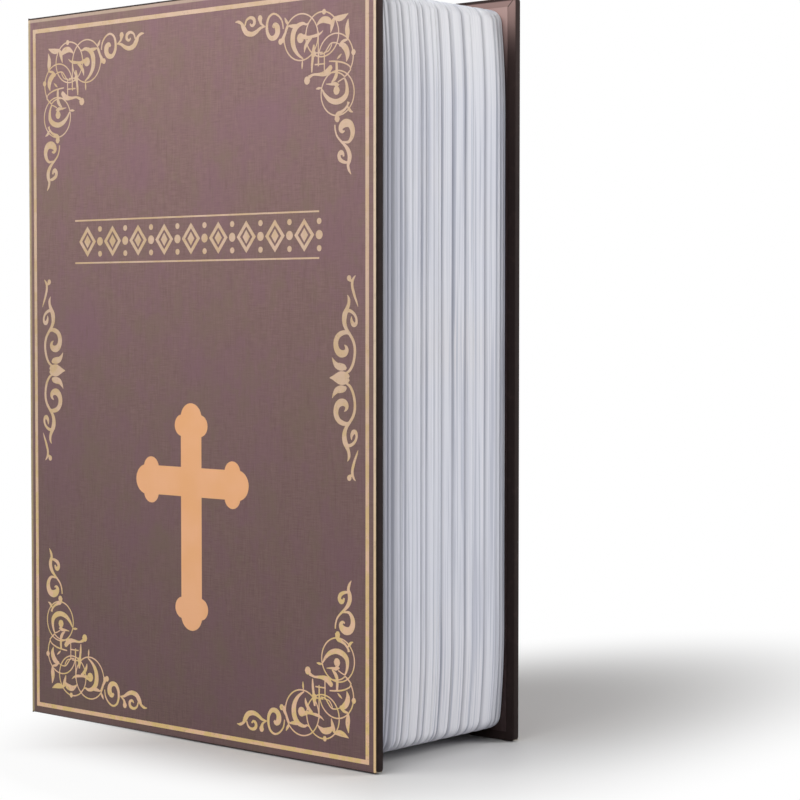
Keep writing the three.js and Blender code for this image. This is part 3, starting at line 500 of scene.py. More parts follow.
def eased(points, radii, steps=4, looped=False):
    # the same outline with its corners rounded
    made = []
    for i, (x, y) in enumerate(points):
        radius = radii[i] if isinstance(radii, (list, tuple)) else radii
        if not radius or (not looped and i in (0, len(points) - 1)):
            made.append((x, y))
            continue
        (beforeX, beforeY), (afterX, afterY) = points[i - 1], points[(i + 1) % len(points)]
        before, after = math.hypot(beforeX - x, beforeY - y), math.hypot(afterX - x, afterY - y)
        reach = min(radius, before * 0.48, after * 0.48)
        start = (x + (beforeX - x) * reach / before, y + (beforeY - y) * reach / before)
        end = (x + (afterX - x) * reach / after, y + (afterY - y) * reach / after)
        for share in angles(0, 1, steps):
            kept = 1 - share
            made.append(tuple(kept ** 2 * a + 2 * kept * share * b + share ** 2 * c
                              for a, b, c in zip(start, (x, y), end)))
    return made


def loopCorners(low, high, radii, sides):
    # a rounded rectangle, from its low-low corner round by its high-low one
    points = []
    corners = zip(rectangle(low[0], high[0], low[1], high[1]), (180, 270, 0, 90), radii)
    for (across, up), start, radius in corners:
        inward = 1 if across == low[0] else -1, 1 if up == low[1] else -1
        centre = (across + radius * inward[0], up + radius * inward[1])
        points += arc(radius, [math.radians(turn) for turn in angles(start, start + 90, sides)], centre)
    return points


def addLoft(shape, rings, looped=False):
    # closed skin through rings of the same count, capped at both ends or joined end to end
    rows = [[shape.verts.new(point) for point in ring] for ring in rings]
    for row, after in zip(rows, rows[1:] + rows[:1] if looped else rows[1:]):
        for i, point in enumerate(row):
            j = (i + 1) % len(row)
            shape.faces.new((point, row[j], after[j], after[i]))
    if not looped:
        shape.faces.new(rows[0])
        shape.faces.new(rows[-1])


def addObject(name, data):
    made = bpy.data.objects.new(name, data)
    bpy.context.scene.collection.objects.link(made)
    return made


def smoothed(mesh, sharpAngle):
    mesh.shade_smooth()
    mesh.set_sharp_from_angle(angle=math.radians(sharpAngle))
    return mesh


mergeReach = 3e-7     # in metres


def turnOut(shape):
    # merges doubles and points the faces outwards
    bmesh.ops.remove_doubles(shape, verts=shape.verts, dist=mergeReach)
    bmesh.ops.recalc_face_normals(shape, faces=shape.faces)


def closeMesh(name, shape, finish=None, sharpAngle=40):
    turnOut(shape)
    mesh = bpy.data.meshes.new(name)
    shape.to_mesh(mesh)
    shape.free()
    if finish:
        mesh.materials.append(finishes[finish])
    return addObject(name, smoothed(mesh, sharpAngle))


def lofted(name, rings, finish=None, sharpAngle=40, looped=False):
    shape = bmesh.new()
    addLoft(shape, rings, looped)
    return closeMesh(name, shape, finish, sharpAngle)


def turned(name, profile, sides, finish=None, centre=(0, 0, 0), axis="z", looped=False, sharpAngle=40):
    return lofted(name, turnedRings(profile, sides, centre, axis), finish, sharpAngle, looped)


def remeshed(piece, change):
    # the piece after change(shape) on its mesh
    shape = bmesh.new()
    shape.from_mesh(piece.data)
    change(shape)
    shape.to_mesh(piece.data)
    shape.free()
    return piece


def joined(piece, other):
    # both meshes in the first piece
    remeshed(piece, lambda shape: shape.from_mesh(other.data))
    bpy.data.objects.remove(other)
    return piece


def worked(piece):
    # a plain mesh of the piece with its modifiers worked in
    graph = bpy.context.evaluated_depsgraph_get()
    return bpy.data.meshes.new_from_object(piece.evaluated_get(graph), depsgraph=graph)


def settled(piece, sharpAngle):
    mesh = worked(piece)
    piece.modifiers.clear()
    piece.data = smoothed(mesh, sharpAngle)
    return piece


past = 1     # mm by which a cutter goes past the face that it cuts


def cutter(low, high):
    # a plain block in mm, for cuts
    return lofted("cutter", blockRings(low, high))


def carved(piece, *cutters, sharpAngle=40):
    # the piece without what the cutters cover
    for tool in cutters:
        cut = piece.modifiers.new("cut", "BOOLEAN")
        cut.operation, cut.solver, cut.object = "DIFFERENCE", "EXACT", tool
    settled(piece, sharpAngle)
    for tool in cutters:
        bpy.data.objects.remove(tool)
    return piece


def softened(piece, width, sharpAngle=40, bevelAngle=35):
    # every sharp edge of the piece rounded by width, in mm
    bevel = piece.modifiers.new("soften", "BEVEL")
    bevel.width, bevel.segments, bevel.limit_method = width * mm, 2, "ANGLE"
    bevel.angle_limit = math.radians(bevelAngle)
    return settled(piece, sharpAngle)


def span(node):
    # a node's left, right, front, back, tail and head, in mm
    low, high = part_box(node)
    return [value / mm for value in (low.x, high.x, low.y, high.y, low.z, high.z)]


def standFor(piece, body, slot, *replaced):
    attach(piece, body)
    if replaced:
        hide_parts(*replaced)
    return piece


class GrowTree(Tree):
    # a Geometry Nodes group with named inputs
    def __init__(self, name, inputs):
        group = bpy.data.node_groups.new(name, "GeometryNodeTree")
        super().__init__(group)
        group.interface.new_socket("Geometry", in_out="INPUT", socket_type="NodeSocketGeometry")
        self.identifiers = {}
        for label, kind in {**inputs, "Material": "Material"}.items():
            socket = group.interface.new_socket(label, in_out="INPUT", socket_type="NodeSocket" + kind)
            self.identifiers[label] = socket.identifier
        group.interface.new_socket("Geometry", in_out="OUTPUT", socket_type="NodeSocketGeometry")
        self.entry = group.nodes.new("NodeGroupInput")

    def given(self, label="Geometry"):
        return Wire(self, self.entry.outputs[label])

    def named(self, label, kind="FLOAT"):
        return self.node("GeometryNodeInputNamedAttribute", {"data_type": kind}, {"Name": label})

    def drawn(self, label):
        return self.node("GeometryNodeObjectInfo", {}, {"Object": self.given(label)}, "Geometry")

    def curve(self, mesh):
        return self.node("GeometryNodeMeshToCurve", {}, {"Mesh": mesh})

    def upright(self, curve):
        return self.node("GeometryNodeSetCurveNormal", {"mode": "Z_UP"}, {"Curve": curve})

    def swept(self, curve, profile, sockets=None):
        sockets = {"Curve": curve, "Profile Curve": profile, "Fill Caps": True, **(sockets or {})}
        return self.node("GeometryNodeCurveToMesh", {}, sockets)

    def moved(self, geometry, **sockets):
        return self.node("GeometryNodeTransform", {}, {"Geometry": geometry, **sockets})

    def mirrored(self, geometry, **sockets):
        return self.node("GeometryNodeFlipFaces", {}, {"Mesh": self.moved(geometry, **sockets)})

    def together(self, *parts):
        join = self.made.nodes.new("GeometryNodeJoinGeometry")
        for part in parts:
            self.made.links.new(part.socket, join.inputs[0])
        return Wire(self, join.outputs[0])

    def finish(self, geometry):
        real = self.node("GeometryNodeRealizeInstances", {}, {"Geometry": geometry})
        coat = {"Geometry": real, "Material": self.given("Material")}
        self.node("NodeGroupOutput", {}, {0: self.node("GeometryNodeSetMaterial", {}, coat)})

    def grow(self, name, host, finish, values, sharpAngle=40):
        # the group's result on a host mesh, as a plain piece
        modifier = host.modifiers.new("grow", "NODES")
        modifier.node_group = self.made
        for label, value in {**values, "Material": finishes[finish]}.items():
            modifier[self.identifiers[label]] = value
        mesh = worked(host)
        mesh.name = name
        host.modifiers.remove(modifier)
        bpy.data.objects.remove(host)
        return addObject(name, smoothed(mesh, sharpAngle))


def lineHost(name, lines, values):
    # a mesh of loose edges; each line is (points, closed), and values name numbers held at its points
    mesh = bpy.data.meshes.new(name)
    points, edges = [], []
    for line, closed in lines:
        first = len(points)
        points += line
        edges += [(first + i, first + i + 1) for i in range(len(line) - 1)]
        if closed:
            edges.append((len(points) - 1, first))
    mesh.from_pydata(points, edges, [])
    for label, numbers in values.items():
        mesh.attributes.new(label, "FLOAT", "POINT").data.foreach_set("value", numbers)
    return addObject(name, mesh)


standing = (math.pi / 2, 0, 0)     # turns a drawing from level to upright
copyGap = 3e-7     # in metres, how far the upper copies lie behind the lower ones


def foilTree():
    # flat foil along drawn strokes, repeated left to right and up and down
    tree = GrowTree("strokeFoil", dict.fromkeys(("Step", "Back", "Middle Across", "Middle Height"), "Float"))
    level = tree.named("level")
    drawn = {"Curve": tree.curve(tree.given())}
    smooth = tree.node("GeometryNodeCurveSplineType", {"spline_type": "CATMULL_ROM"}, drawn)
    paced = {"Curve": smooth, "Length": tree.given("Step")}
    even = tree.node("GeometryNodeResampleCurve", {"mode": "LENGTH"}, paced)
    band = tree.node("GeometryNodeCurvePrimitiveQuadrilateral", {}, {"Width": 2.0, "Height": 0.1})
    ribbon = tree.swept(tree.upright(even), band, {"Scale": tree.named("halfWidth")})
    x, y, z = tree.axes(tree.node("GeometryNodeInputPosition"))
    front = z.maths("GREATER_THAN", z, level)
    flat = tree.vector(x, y, level * front + tree.given("Back") * (1 - front))
    foil = tree.node("GeometryNodeSetPosition", {}, {"Geometry": ribbon, "Position": flat})
    pair = tree.together(foil, tree.mirrored(foil, Scale=(-1.0, 1.0, 1.0)))
    lift = tree.vector(0.0, tree.given("Middle Height") * 2.0, -copyGap)
    upper = tree.mirrored(pair, Scale=(1.0, -1.0, 1.0), Translation=lift)
    centre = tree.vector(tree.given("Middle Across"), 0.0, 0.0)
    tree.finish(tree.moved(tree.together(pair, upper), Translation=centre, Rotation=standing))
    return tree


def sectionTree():
    # a closed section carried along a level path, then stood up
    tree = GrowTree("carriedSection", {"Section": "Object"})
    carried = tree.swept(tree.upright(tree.curve(tree.given())), tree.curve(tree.drawn("Section")))
    tree.finish(tree.moved(carried, Rotation=standing))
    return tree


def repeatTree():
    # one motif set on every point of the host, its Z along the point's own direction
    tree = GrowTree("repeatedMotif", {"Motif": "Object"})
    facing = {"Vector": tree.named("facing", "FLOAT_VECTOR")}
    tree.finish(tree.node("GeometryNodeInstanceOnPoints", {}, {
        "Points": tree.node("GeometryNodeMeshToPoints", {}, {"Mesh": tree.given()}),
        "Instance": tree.drawn("Motif"),
        "Rotation": tree.node("FunctionNodeAlignRotationToVector", {"axis": "Z"}, facing),
    }))
    return tree


strokeFoil = foilTree()
carriedSection = sectionTree()
repeatedMotif = repeatTree()
print("geometry trees built")


def repeatedAt(name, places, directions, motif, finish):
    # one piece with the motif at every place, in metres, its Z along that place's direction
    host = lineHost(name + "Places", [([place], False) for place in places], {})
    facing = [number for direction in directions for number in direction]
    host.data.attributes.new("facing", "FLOAT_VECTOR", "POINT").data.foreach_set("vector", facing)
    piece = repeatedMotif.grow(name, host, finish, {"Motif": motif})
    bpy.data.objects.remove(motif)
    return piece


caseShape = {
    "edgeRound": 0.8, "innerRound": 0.4, "cornerRound": 1.5, "wrap": 0.3, "turnIn": 14.0, "foilDepth": 0.04,
    "support": 0.5, "sides": 6, "foldEase": 0.02, "boardEase": 0.1, "leastRound": 0.05, "cornerSides": 5,
}


def wrapRings(ring, outer, inner, rise, innerSupport):
    # a wrap in section: outer face, rounded edges, turn-in and back along the board
    values = caseShape
    skin, round1, round2, turnIn = values["wrap"], values["edgeRound"], values["innerRound"], values["turnIn"]
    quarter = angles(0, math.pi / 2, values["sides"])
    rings = [ring(round1 + values["support"], outer)]
    rings += [ring(round1 * (1 - math.sin(turn)), outer + rise * round1 * (1 - math.cos(turn)))
              for turn in quarter]
    rings += [ring(round2 * (1 - math.cos(turn)), inner - rise * round2 * (1 - math.sin(turn)))
              for turn in quarter]
    if innerSupport:
        rings.append(ring(round2 + values["support"], inner))
    under, over = inner - rise * skin, outer + rise * skin
    corners = ((turnIn, inner), (turnIn, under), (skin, under), (skin, over))
    return rings + [ring(inset, depth, skin) for inset, depth in corners]


def coverWrap(name, node, rise):
    # one cover's printed wrap, turned in on three edges; rise is 1 on the front cover, -1 on the back one
    values = caseShape
    fold, fore, front, back, _, head = span(node)
    outer, inner = (front + values["foilDepth"], back) if rise > 0 else (back, front)

    def ring(inset, depth, foldInset=0.0):
        corner = max(values["cornerRound"] - inset, values["leastRound"])
        radii = (values["foldEase"], corner, corner, values["foldEase"])
        low, high = (fold + foldInset, inset), (fore - inset, head - inset)
        points = loopCorners(low, high, radii, values["cornerSides"])
        return ringAt(points, depth, "y")

    return lofted(name, wrapRings(ring, outer, inner, rise, True), "printed_cover", sharpAngle=50)


def slab(name, node, slot, lowTrim, highTrim, ease):
    # a board or pad: the node's box, trimmed and with its edges eased
    left, right, front, back, tail, head = span(node)
    shape = bmesh.new()
    low, high = (left, front, tail), (right, back, head)
    addLoft(shape, blockRings([a + b for a, b in zip(low, lowTrim)], [a - b for a, b in zip(high, highTrim)]))
    shape.normal_update()     # the bevel goes by the faces' normals
    bmesh.ops.bevel(shape, geom=shape.edges[:], offset=ease * mm, segments=2, affect="EDGES")
    return closeMesh(name, shape, slot)


spineShape = {"linerLap": 0.2, "backGap": 0.4, "cornerRound": 1.2, "cornerSteps": 8, "innerStep": 0.1}


def spineWrap():
    # the spine's wrap: a closed skin round the spine board, turned in at head and tail
    values = spineShape
    outer, _, front, _, _, head = span("spine_wrap")
    foot, _, coverFront, corner, _, _ = span("back_wrap")
    inner, back = span("spine_liner")[1] - values["linerLap"], coverFront - values["backGap"]
    ease, skin = caseShape["foldEase"], caseShape["wrap"]

    def ring(inset, depth, endInset=0.0):
        points = loopCorners((front + endInset, inset), (back - endInset, head - inset), (ease,) * 4, 1)
        return ringAt(points, depth, "x")

    shape = bmesh.new()
    addLoft(shape, wrapRings(ring, outer, inner, 1, False))
    # the strip that runs round the back corner onto the back cover
    radius = min(values["cornerRound"], foot - outer)
    outline = [(outer, back)]
    outline += [(outer + radius * (1 - math.cos(turn)), corner - radius * (1 - math.sin(turn)))
                for turn in angles(0, math.pi / 2, values["cornerSteps"])]
    inside = outer + skin
    outline += [(foot, corner - skin), (inside + values["innerStep"], corner - radius), (inside, back)]
    addLoft(shape, ringsAt(outline, (0, head)))
    return closeMesh("spine_cover_wrap", shape, "printed_cover", sharpAngle=50)


def board(name, node, body, lowTrim, highTrim):
    # a cover board; the trims make room for the paper at the low and the high end of its node's box
    piece = slab(name, node, "greyboard", lowTrim, highTrim, caseShape["boardEase"])
    standFor(piece, body, "greyboard", node)


standFor(coverWrap("front_cover_wrap", "front_wrap", 1), "front_cover", "printed_cover", "front_wrap")
standFor(coverWrap("back_cover_wrap", "back_wrap", -1), "book_body", "printed_cover", "back_wrap")
board("front_cover_board", "front_board", "front_cover", (0.32, 0.06, 0.02), (0.02, 0.02, 0.02))
board("back_cover_board", "back_board", "book_body", (0.32, 0.02, 0.02), (0.02, 0.02, 0.02))
standFor(spineWrap(), "book_body", "printed_cover", "spine_wrap")
board("spine_cover_board", "spine_board", "book_body", (0.02, 0.32, 0.02), (0.02, 0.32, 0.02))

foldShape = {
    "thickness": 0.3, "round": 0.32, "thinned": 0.9, "straight": 0.2, "steps": 60, "turns": 8,
    "start": (-0.07995, -0.03455, 0.12), "end": (-0.07955, -0.03495, 0.12),     # in metres
}


def frontFold():
    # the bare strip of wrap on which the front cover swings
    values = foldShape
    outer, _, front, back, _, head = span("front_fold")
    coverStart = span("front_wrap")[0]
    radius, skin, thin = values["round"], values["thickness"], values["thickness"] * values["thinned"]
    depths = (back, (back + front) / 2, front + radius + values["straight"])
    quarter = angles(0, math.pi / 2, values["turns"])
    outside = [(outer, y) for y in depths]
    outside += [(outer + radius * (1 - math.cos(turn)), front + radius * (1 - math.sin(turn)))
                for turn in quarter]
    inner = radius - thin
    inside = [(outer + skin, y) for y in depths]
    inside += [(outer + radius - inner * math.cos(turn), front + radius - inner * math.sin(turn))
               for turn in quarter]
    section = outside + [(coverStart, front), (coverStart, front + thin)] + inside[::-1]
    rings = ringsAt(section, angles(0, head, values["steps"]))
    piece = lofted("front_fold_strip", rings, "printed_cover", sharpAngle=50)
    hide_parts("front_fold")
    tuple(values["start"])
    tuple(values["end"])
    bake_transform(piece)


frontFold()
print("case made")


printShape = {
    "front": 35.0, "back": 34.95, "levelStep": 0.0006, "step": 0.3, "middleHeight": 119.2,
    "middleAcross": 79.6, "halfWidth": 80.0, "lineHalfWidth": 0.22, "ringSteps": 24, "beadSteps": 10,
    "beadTip": 0.02,
}

# corner ornament, at the tail and fore-edge corner: places from the spine edge and the tail, and half widths
cornerStrokes = [
    [(149.6, 57.8, .1), (148.8, 56.5, .45), (148.4, 55, .55), (148.9, 53.5, .75), (149, 52, .8),
     (148.3, 50.3, .7), (146.9, 48.8, .45), (145.2, 47.4, .35), (143.9, 46, .3), (143.2, 44.3, .28),
     (143, 42.6, .25)],
    [(148.4, 54.2, .3), (146.8, 54, .5), (145.2, 53.2, .65), (144.7, 51.9, .65), (145.4, 50.9, .6),
     (146.3, 51.2, .45), (146.6, 52.3, .35)],
    [(146.2, 47.9, .25), (148.6, 48, .45), (150, 46.4, .75), (150.2, 44.4, .95), (149.2, 42.7, 1.1),
     (147.4, 42.3, 1.25), (145.9, 43, 1.1), (145.4, 44.1, .8), (146.1, 44.9, .45), (147, 44.6, .2)],
    [(143.9, 41.2, 1), (144.1, 39.6, .75), (145.6, 38.9, .5), (147, 38.2, .4), (148.2, 37, .35),
     (148.6, 36, .5)],
    [(148.2, 37.4, .2), (148.9, 38.3, .5), (149.6, 38.9, .35), (150.4, 39.2, .08)],
    [(137.8, 31.6, .2), (139, 33.4, .5), (141, 35, .75), (143.5, 35.7, .85), (146, 35.2, .9),
     (147.7, 33.8, .8), (148, 31.8, .6), (147.6, 30, .4), (146.9, 28.7, .25)],
    [(147.1, 28.4, .22), (145.4, 27.3, .22), (143, 26.8, .22), (140.8, 26.9, .2)],
    [(147.1, 28.4, .22), (148.4, 27.4, .25), (149.6, 26.3, .2)],
    [(144.2, 31.2, .9), (143.2, 30.3, .6), (141.5, 30.3, .35), (139.4, 30.1, .1)],
    [(141.6, 29.8, .15), (142.8, 28.9, .55), (143.6, 27.7, .65), (143.8, 26.9, .35)],
    [(144.2, 29.9, .2), (145.6, 29.2, .2), (146.9, 28.8, .2)],
    [(143.8, 26.8, .5), (143.8, 25.2, .5), (143.7, 23.8, .4)],
    [(135.2, 31.3, .08), (136.3, 31.2, .4), (137.6, 31.1, .15)],
    [(132.2, 27.6, .6), (134.2, 26.9, .35), (136.6, 27, .5), (138.6, 26.9, .8), (140.2, 26.3, 1.0),
     (141, 25.2, .7)],
    [(133.5, 26.2, .2), (133.6, 24, .45), (133.9, 21.8, .5), (134.1, 20.5, .8), (134.3, 18.8, .5),
     (134.4, 17.8, .3)],
    [(129.9, 21.8, .2), (127.6, 20.2, .5), (126, 18, .8), (125.5, 15.6, .95), (126, 13.2, .95),
     (127.6, 11.6, .75), (129.8, 11, .5), (131.6, 11.4, .25), (133.4, 9.8, .2)],
    [(123.6, 11.2, .2), (125.6, 11.5, .6), (127.6, 11.6, .6)],
    [(129.9, 15, .8), (131.6, 15.4, .5), (133.4, 15.3, .4), (135.4, 15.1, .5), (137.1, 14.6, .3),
     (138.2, 13.8, .08)],
    [(130.4, 19.9, .08), (130.8, 18.2, .55), (132, 16.6, .6), (133.4, 15.6, .4)],
    [(129.4, 24.9, .08), (129.5, 23.6, .35), (129.6, 22.4, .15)],
    [(140.6, 23.3, .2), (143, 23.5, .25), (146, 24, .25), (148.5, 25, .22), (149.6, 26.1, .2)],
    [(147.7, 23.9, .1), (148.2, 22, .8), (147.6, 20.1, 1.0), (146.2, 18.9, .85), (144.8, 18.9, .15)],
    [(144.8, 18.7, .2), (146.4, 17.7, .45), (148.2, 17.3, .3)],
    [(148.4, 17.2, .2), (148.2, 15.4, .85), (148.1, 13.4, .75), (148.5, 11.2, .1)],
    [(142.7, 10.3, .3), (144.6, 10.7, .9), (146.5, 10.4, .75), (148.5, 9.6, .08)],
    [(141.3, 14.8, .1), (141.8, 13, .6), (142.3, 11.4, .7), (142.8, 10.5, .35)],
    [(141.9, 12.2, .4), (140.4, 11, 1.0), (138.2, 10.6, .95), (136.4, 11.4, .45), (135.6, 12.2, .1)],
    [(136.9, 20.9, .2), (138.8, 20.7, .2), (139.9, 19.5, .22), (141.4, 18, .22), (143.2, 17.9, .2),
     (144.8, 18.4, .15)],
    [(139.2, 20.5, .15), (140.5, 20.1, .2), (141.6, 18.7, .2), (141.7, 18, .15)],
    [(143.9, 22.9, .08), (144.8, 22.2, .35), (145.8, 21.4, .08)],
    [(120.8, 16.1, .8), (121.6, 14.6, .6), (122.6, 12.9, .4), (123.5, 11.2, .35)],
    [(123.6, 10.8, .3), (122.8, 9.8, .5), (122.1, 8.6, .1)],
    [(121.5, 12, .2), (121, 9.6, .28), (119.3, 7.7, .3), (117.2, 7, .33), (115.3, 8, .4), (114.5, 10.2, .5),
     (114.7, 12.6, .6), (116, 14.3, .7), (117.9, 14.3, .85), (119, 13, 1), (118.9, 11.3, 1.05),
     (117.8, 10.5, .8), (117, 11.2, .4)],
    [(113.8, 10.6, .2), (111.8, 10.9, .45), (109.8, 12, .65), (107.8, 12.5, .75), (105.6, 11.9, .85),
     (104.3, 10.3, .85), (103.4, 8.9, .5), (102, 8.2, .45), (100.6, 8.2, .1)],
    [(104.9, 9.6, .3), (105.6, 8, .35), (107.2, 7.3, .45), (108.8, 7.9, .6), (109, 9.3, .55),
     (107.9, 9.9, .4), (107.1, 9.2, .25)],
    [(111.6, 8.5, .7), (112, 9.6, .4), (113.4, 10.5, .2)],
]
cornerBeads = [
    (145.6, 51.2, .7), (144, 40.9, 1.0), (143.7, 32.3, 1.3), (131.5, 28.5, 1.25), (134.3, 20.6, 1.0),
    (128.8, 15.4, 1.5), (141.2, 25.3, .85), (150.6, 21.3, .9), (138.6, 8.2, .85), (120.3, 15.8, .95),
    (111.5, 7.9, 1.0),
]
# the interlaced rings: centre, radius, and the turns at which each starts and ends
cornerRings = [
    (144.1, 33.1, 6.75, 0, 360), (129, 15.1, 7.1, 0, 360), (143.4, 22.2, 7.1, -190, 35),
    (137.8, 14.9, 6.8, 0, 360),
]
cornerLines = [
    [(138.7, 26), (138.7, 20.3)], [(136.2, 24.5), (136.2, 14)],
    [(134.7, 23.9), (139, 23.9)], [(134, 20.4), (138, 20.4)],
]
# side ornament, its upper half, at the fore-edge side
sideStrokes = [
    [(151.4, 150.2, .08), (150.7, 149.5, .35), (150.1, 148.3, .5), (150.1, 146.8, .5), (150.6, 145.2, .5),
     (151.2, 143.6, .42), (151.9, 142.1, .3), (152.4, 140.8, .06)],
    [(148.9, 148.9, .5), (149.6, 148.7, .45), (150.2, 148.1, .3)],
    [(148.1, 144.4, .08), (148.7, 143.1, .5), (148.6, 141.6, .6), (147.9, 140.1, .75), (147.1, 138.6, .95),
     (146.8, 137, .9), (147, 135.4, .75), (147.8, 133.9, .6), (149.1, 132.4, .5), (150.3, 130.8, .5),
     (151, 128.9, .5), (151.1, 126.8, .5), (150.7, 124.6, .5), (149.9, 122.7, .48), (148.8, 121.4, .42),
     (147.6, 120.8, .3)],
    [(147.3, 138.9, .3), (148.6, 139.6, .5), (150, 139.2, .5), (151.2, 138.2, .45), (151.8, 136.8, .45),
     (151.5, 135.6, .6), (150.6, 135.4, .75), (149.9, 136.2, .6), (149.7, 137.2, .35), (149.8, 137.9, .08)],
    [(149.2, 132.3, .3), (147.9, 133, .55), (146.2, 132.9, .75), (144.5, 132.1, .85), (143.5, 130.6, .95),
     (143.4, 128.9, 1.0), (144.1, 127.4, 1.1), (145.4, 126.6, 1.15), (146.9, 126.7, 1.05), (147.8, 127.6, .8),
     (147.6, 128.6, .5), (146.8, 129.3, .1)],
    [(140.8, 119.25, .06), (142.3, 119.5, .4), (143.8, 119.9, .78), (145.3, 120.2, 1.06),
     (146.8, 120.15, 1.0), (148, 119.95, .8), (148.8, 119.5, .35)],
    [(141.8, 125.4, .05), (142.6, 124.1, .55), (143.7, 123, .95), (145.2, 122.6, 1.15), (146.7, 122.4, .95),
     (147.6, 121.9, .35)],
]
sideBeads = [(148.8, 149.4, .9)]


def strokeHost(name, strokes, beads=(), rings=(), lines=()):
    # every stroke as a line with its half widths; each lies a little behind the one before it
    values = printShape
    drawn, widths, levels = [], [], []

    def add(points, halfWidths, closed=False):
        level = (values["front"] - len(drawn) * values["levelStep"]) * mm
        drawn.append(([((x - values["middleAcross"]) * mm, z * mm, level) for x, z in points], closed))
        widths.extend(width * mm for width in halfWidths)
        levels.extend([level] * len(points))

    for stroke in strokes:
        add([point[:2] for point in stroke], [point[2] for point in stroke])
    for x, z, radius in beads:
        turns = angles(0, math.pi, values["beadSteps"])
        halves = [max(radius * math.sin(turn), values["beadTip"]) for turn in turns]
        add([(x - radius * math.cos(turn), z) for turn in turns], halves)
    for x, z, radius, start, end in rings:
        closed = end - start == 360
        turns = [math.radians(turn) for turn in angles(start, end, values["ringSteps"])]
        points = arc(radius, turns[:-1] if closed else turns, (x, z))
        add(points, [values["lineHalfWidth"]] * len(points), closed)
    for line in lines:
        add(line, [values["lineHalfWidth"]] * len(line))
    return lineHost(name, drawn, {"halfWidth": widths, "level": levels})


foilInputs = {
    "Step": printShape["step"] * mm, "Back": printShape["back"] * mm,
    "Middle Height": printShape["middleHeight"] * mm,
    "Middle Across": (printShape["middleAcross"] - printShape["halfWidth"]) * mm,
}
ornaments = {
    "corner_ornaments": strokeHost("cornerDrawing", cornerStrokes, cornerBeads, cornerRings, cornerLines),
    "side_ornaments": strokeHost("sideDrawing", sideStrokes, sideBeads),
}
for name, host in ornaments.items():
    ornament = standFor(strokeFoil.grow(name, host, "gilt", foilInputs), "front_cover", "printed_cover")
    print(name + ":", len(ornament.data.polygons), "faces")


def addFlat(shape, outline, hole=None, front=printShape["front"], back=printShape["back"]):
    # flat foil from an outline of (across, up), with an optional hole of the same count
    rings = ringsAt(outline, (-front, -back), "y")
    if hole:
        rings += ringsAt(hole, (-back, -front), "y")
    addLoft(shape, rings, bool(hole))


frameShape = {"left": 2.6, "right": 156.8, "tail": 2.5, "head": 235.9, "width": 1.4}


def frameLine():
    values = frameShape
    half, width = printShape["halfWidth"], values["width"]
    left, right, tail, head = values["left"] - half, values["right"] - half, values["tail"], values["head"]
    shape = bmesh.new()
    addFlat(shape, rectangle(left, right, tail, head),
            rectangle(left + width, right - width, tail + width, head - width))
    return closeMesh("frame_line", shape, "gilt")


standFor(frameLine(), "front_cover", "printed_cover")

bandShape = {
    "tail": 155.4, "head": 170.2, "left": 24.0, "right": 136.5, "rule": 0.55, "count": 9,
    "lozenge": (8.4, 10.2), "line": 1.15, "core": (3.2, 4.4), "bead": 0.95, "middleBead": 1.5,
    "beadSides": 20,
}
bandPitch = (bandShape["right"] - bandShape["left"]) / bandShape["count"]


def bandMotif():
    # one lozenge of the band: an open lozenge, its solid core and three beads beside it
    values = bandShape
    width, height = values["lozenge"]
    slant, bead = values["line"] * 2 * math.hypot(width, height), values["bead"]
    foil = {"front": printShape["front"] - printShape["back"], "back": 0}
    shape = bmesh.new()

    def lozenge(width, height):
        return [(width / 2, 0), (0, height / 2), (-width / 2, 0), (0, -height / 2)]

    addFlat(shape, lozenge(width, height), lozenge(width - slant / height, height - slant / width), **foil)
    addFlat(shape, lozenge(*values["core"]), **foil)
    beads = ((bead - height / 2, bead), (height / 2 - bead, bead), (0, bead * values["middleBead"]))
    for up, radius in beads:
        addFlat(shape, arc(radius, fullTurn(values["beadSides"]), (bandPitch / 2, up)), **foil)
    return closeMesh("bandMotif", shape)


def lozengeBand():
    # a band of lozenges between two thin rules, across the upper part of the cover
    values = bandShape
    left, right = values["left"] - printShape["halfWidth"], values["right"] - printShape["halfWidth"]
    middle = (values["tail"] + values["head"]) / 2
    row = [(left + bandPitch * (i + 0.5), middle) for i in range(values["count"])]
    spots = ringAt(row, -printShape["back"], "y")
    lozenges = repeatedAt("band_lozenges", spots, [(0.0, 0.0, 1.0)] * len(spots), bandMotif(), "gilt")
    shape = bmesh.new()
    for low in (values["tail"], values["head"] - values["rule"]):
        addFlat(shape, rectangle(left, right, low, low + values["rule"]))
    return lozenges, closeMesh("band_rules", shape, "gilt")


for piece in lozengeBand():
    standFor(piece, "front_cover", "printed_cover")

crossShape = {
    "height": 84.2, "halfWidth": 4.75, "budRadius": 3.55, "budOffset": 4.05, "tipRadius": 4.85,
    "budBack": 2.4, "arms": (21.2, 20.7, 21.2, 43.4), "sides": 14,
}


def budArm(length):
    # half of one arm's outline and its mirror: straight side, side bud, tip bud
    values = crossShape
    half, bud, tip = values["halfWidth"], values["budRadius"], values["tipRadius"]
    along, offset = length - values["budBack"], values["budOffset"]
    gap = math.hypot(length - along, offset)
    reach = (gap ** 2 + bud ** 2 - tip ** 2) / (2 * gap)
    height = math.sqrt(bud ** 2 - reach ** 2)
    towardX, towardY = (length - along) / gap, -offset / gap
    meets = [(along + towardX * reach - towardY * height * side,
              offset + towardY * reach + towardX * height * side) for side in (1, -1)]
    meetX, meetY = max(meets, key=sum)
    start = math.atan2(half - offset, -math.sqrt(bud ** 2 - (half - offset) ** 2))
    end = math.atan2(meetY - offset, meetX - along)
    outline = arc(bud, angles(start, end, values["sides"]), (along, offset))
    outline += arc(tip, angles(math.atan2(meetY, meetX - length), 0, values["sides"])[1:], (length, 0))
    return outline + [(x, -y) for x, y in outline[-2::-1]]


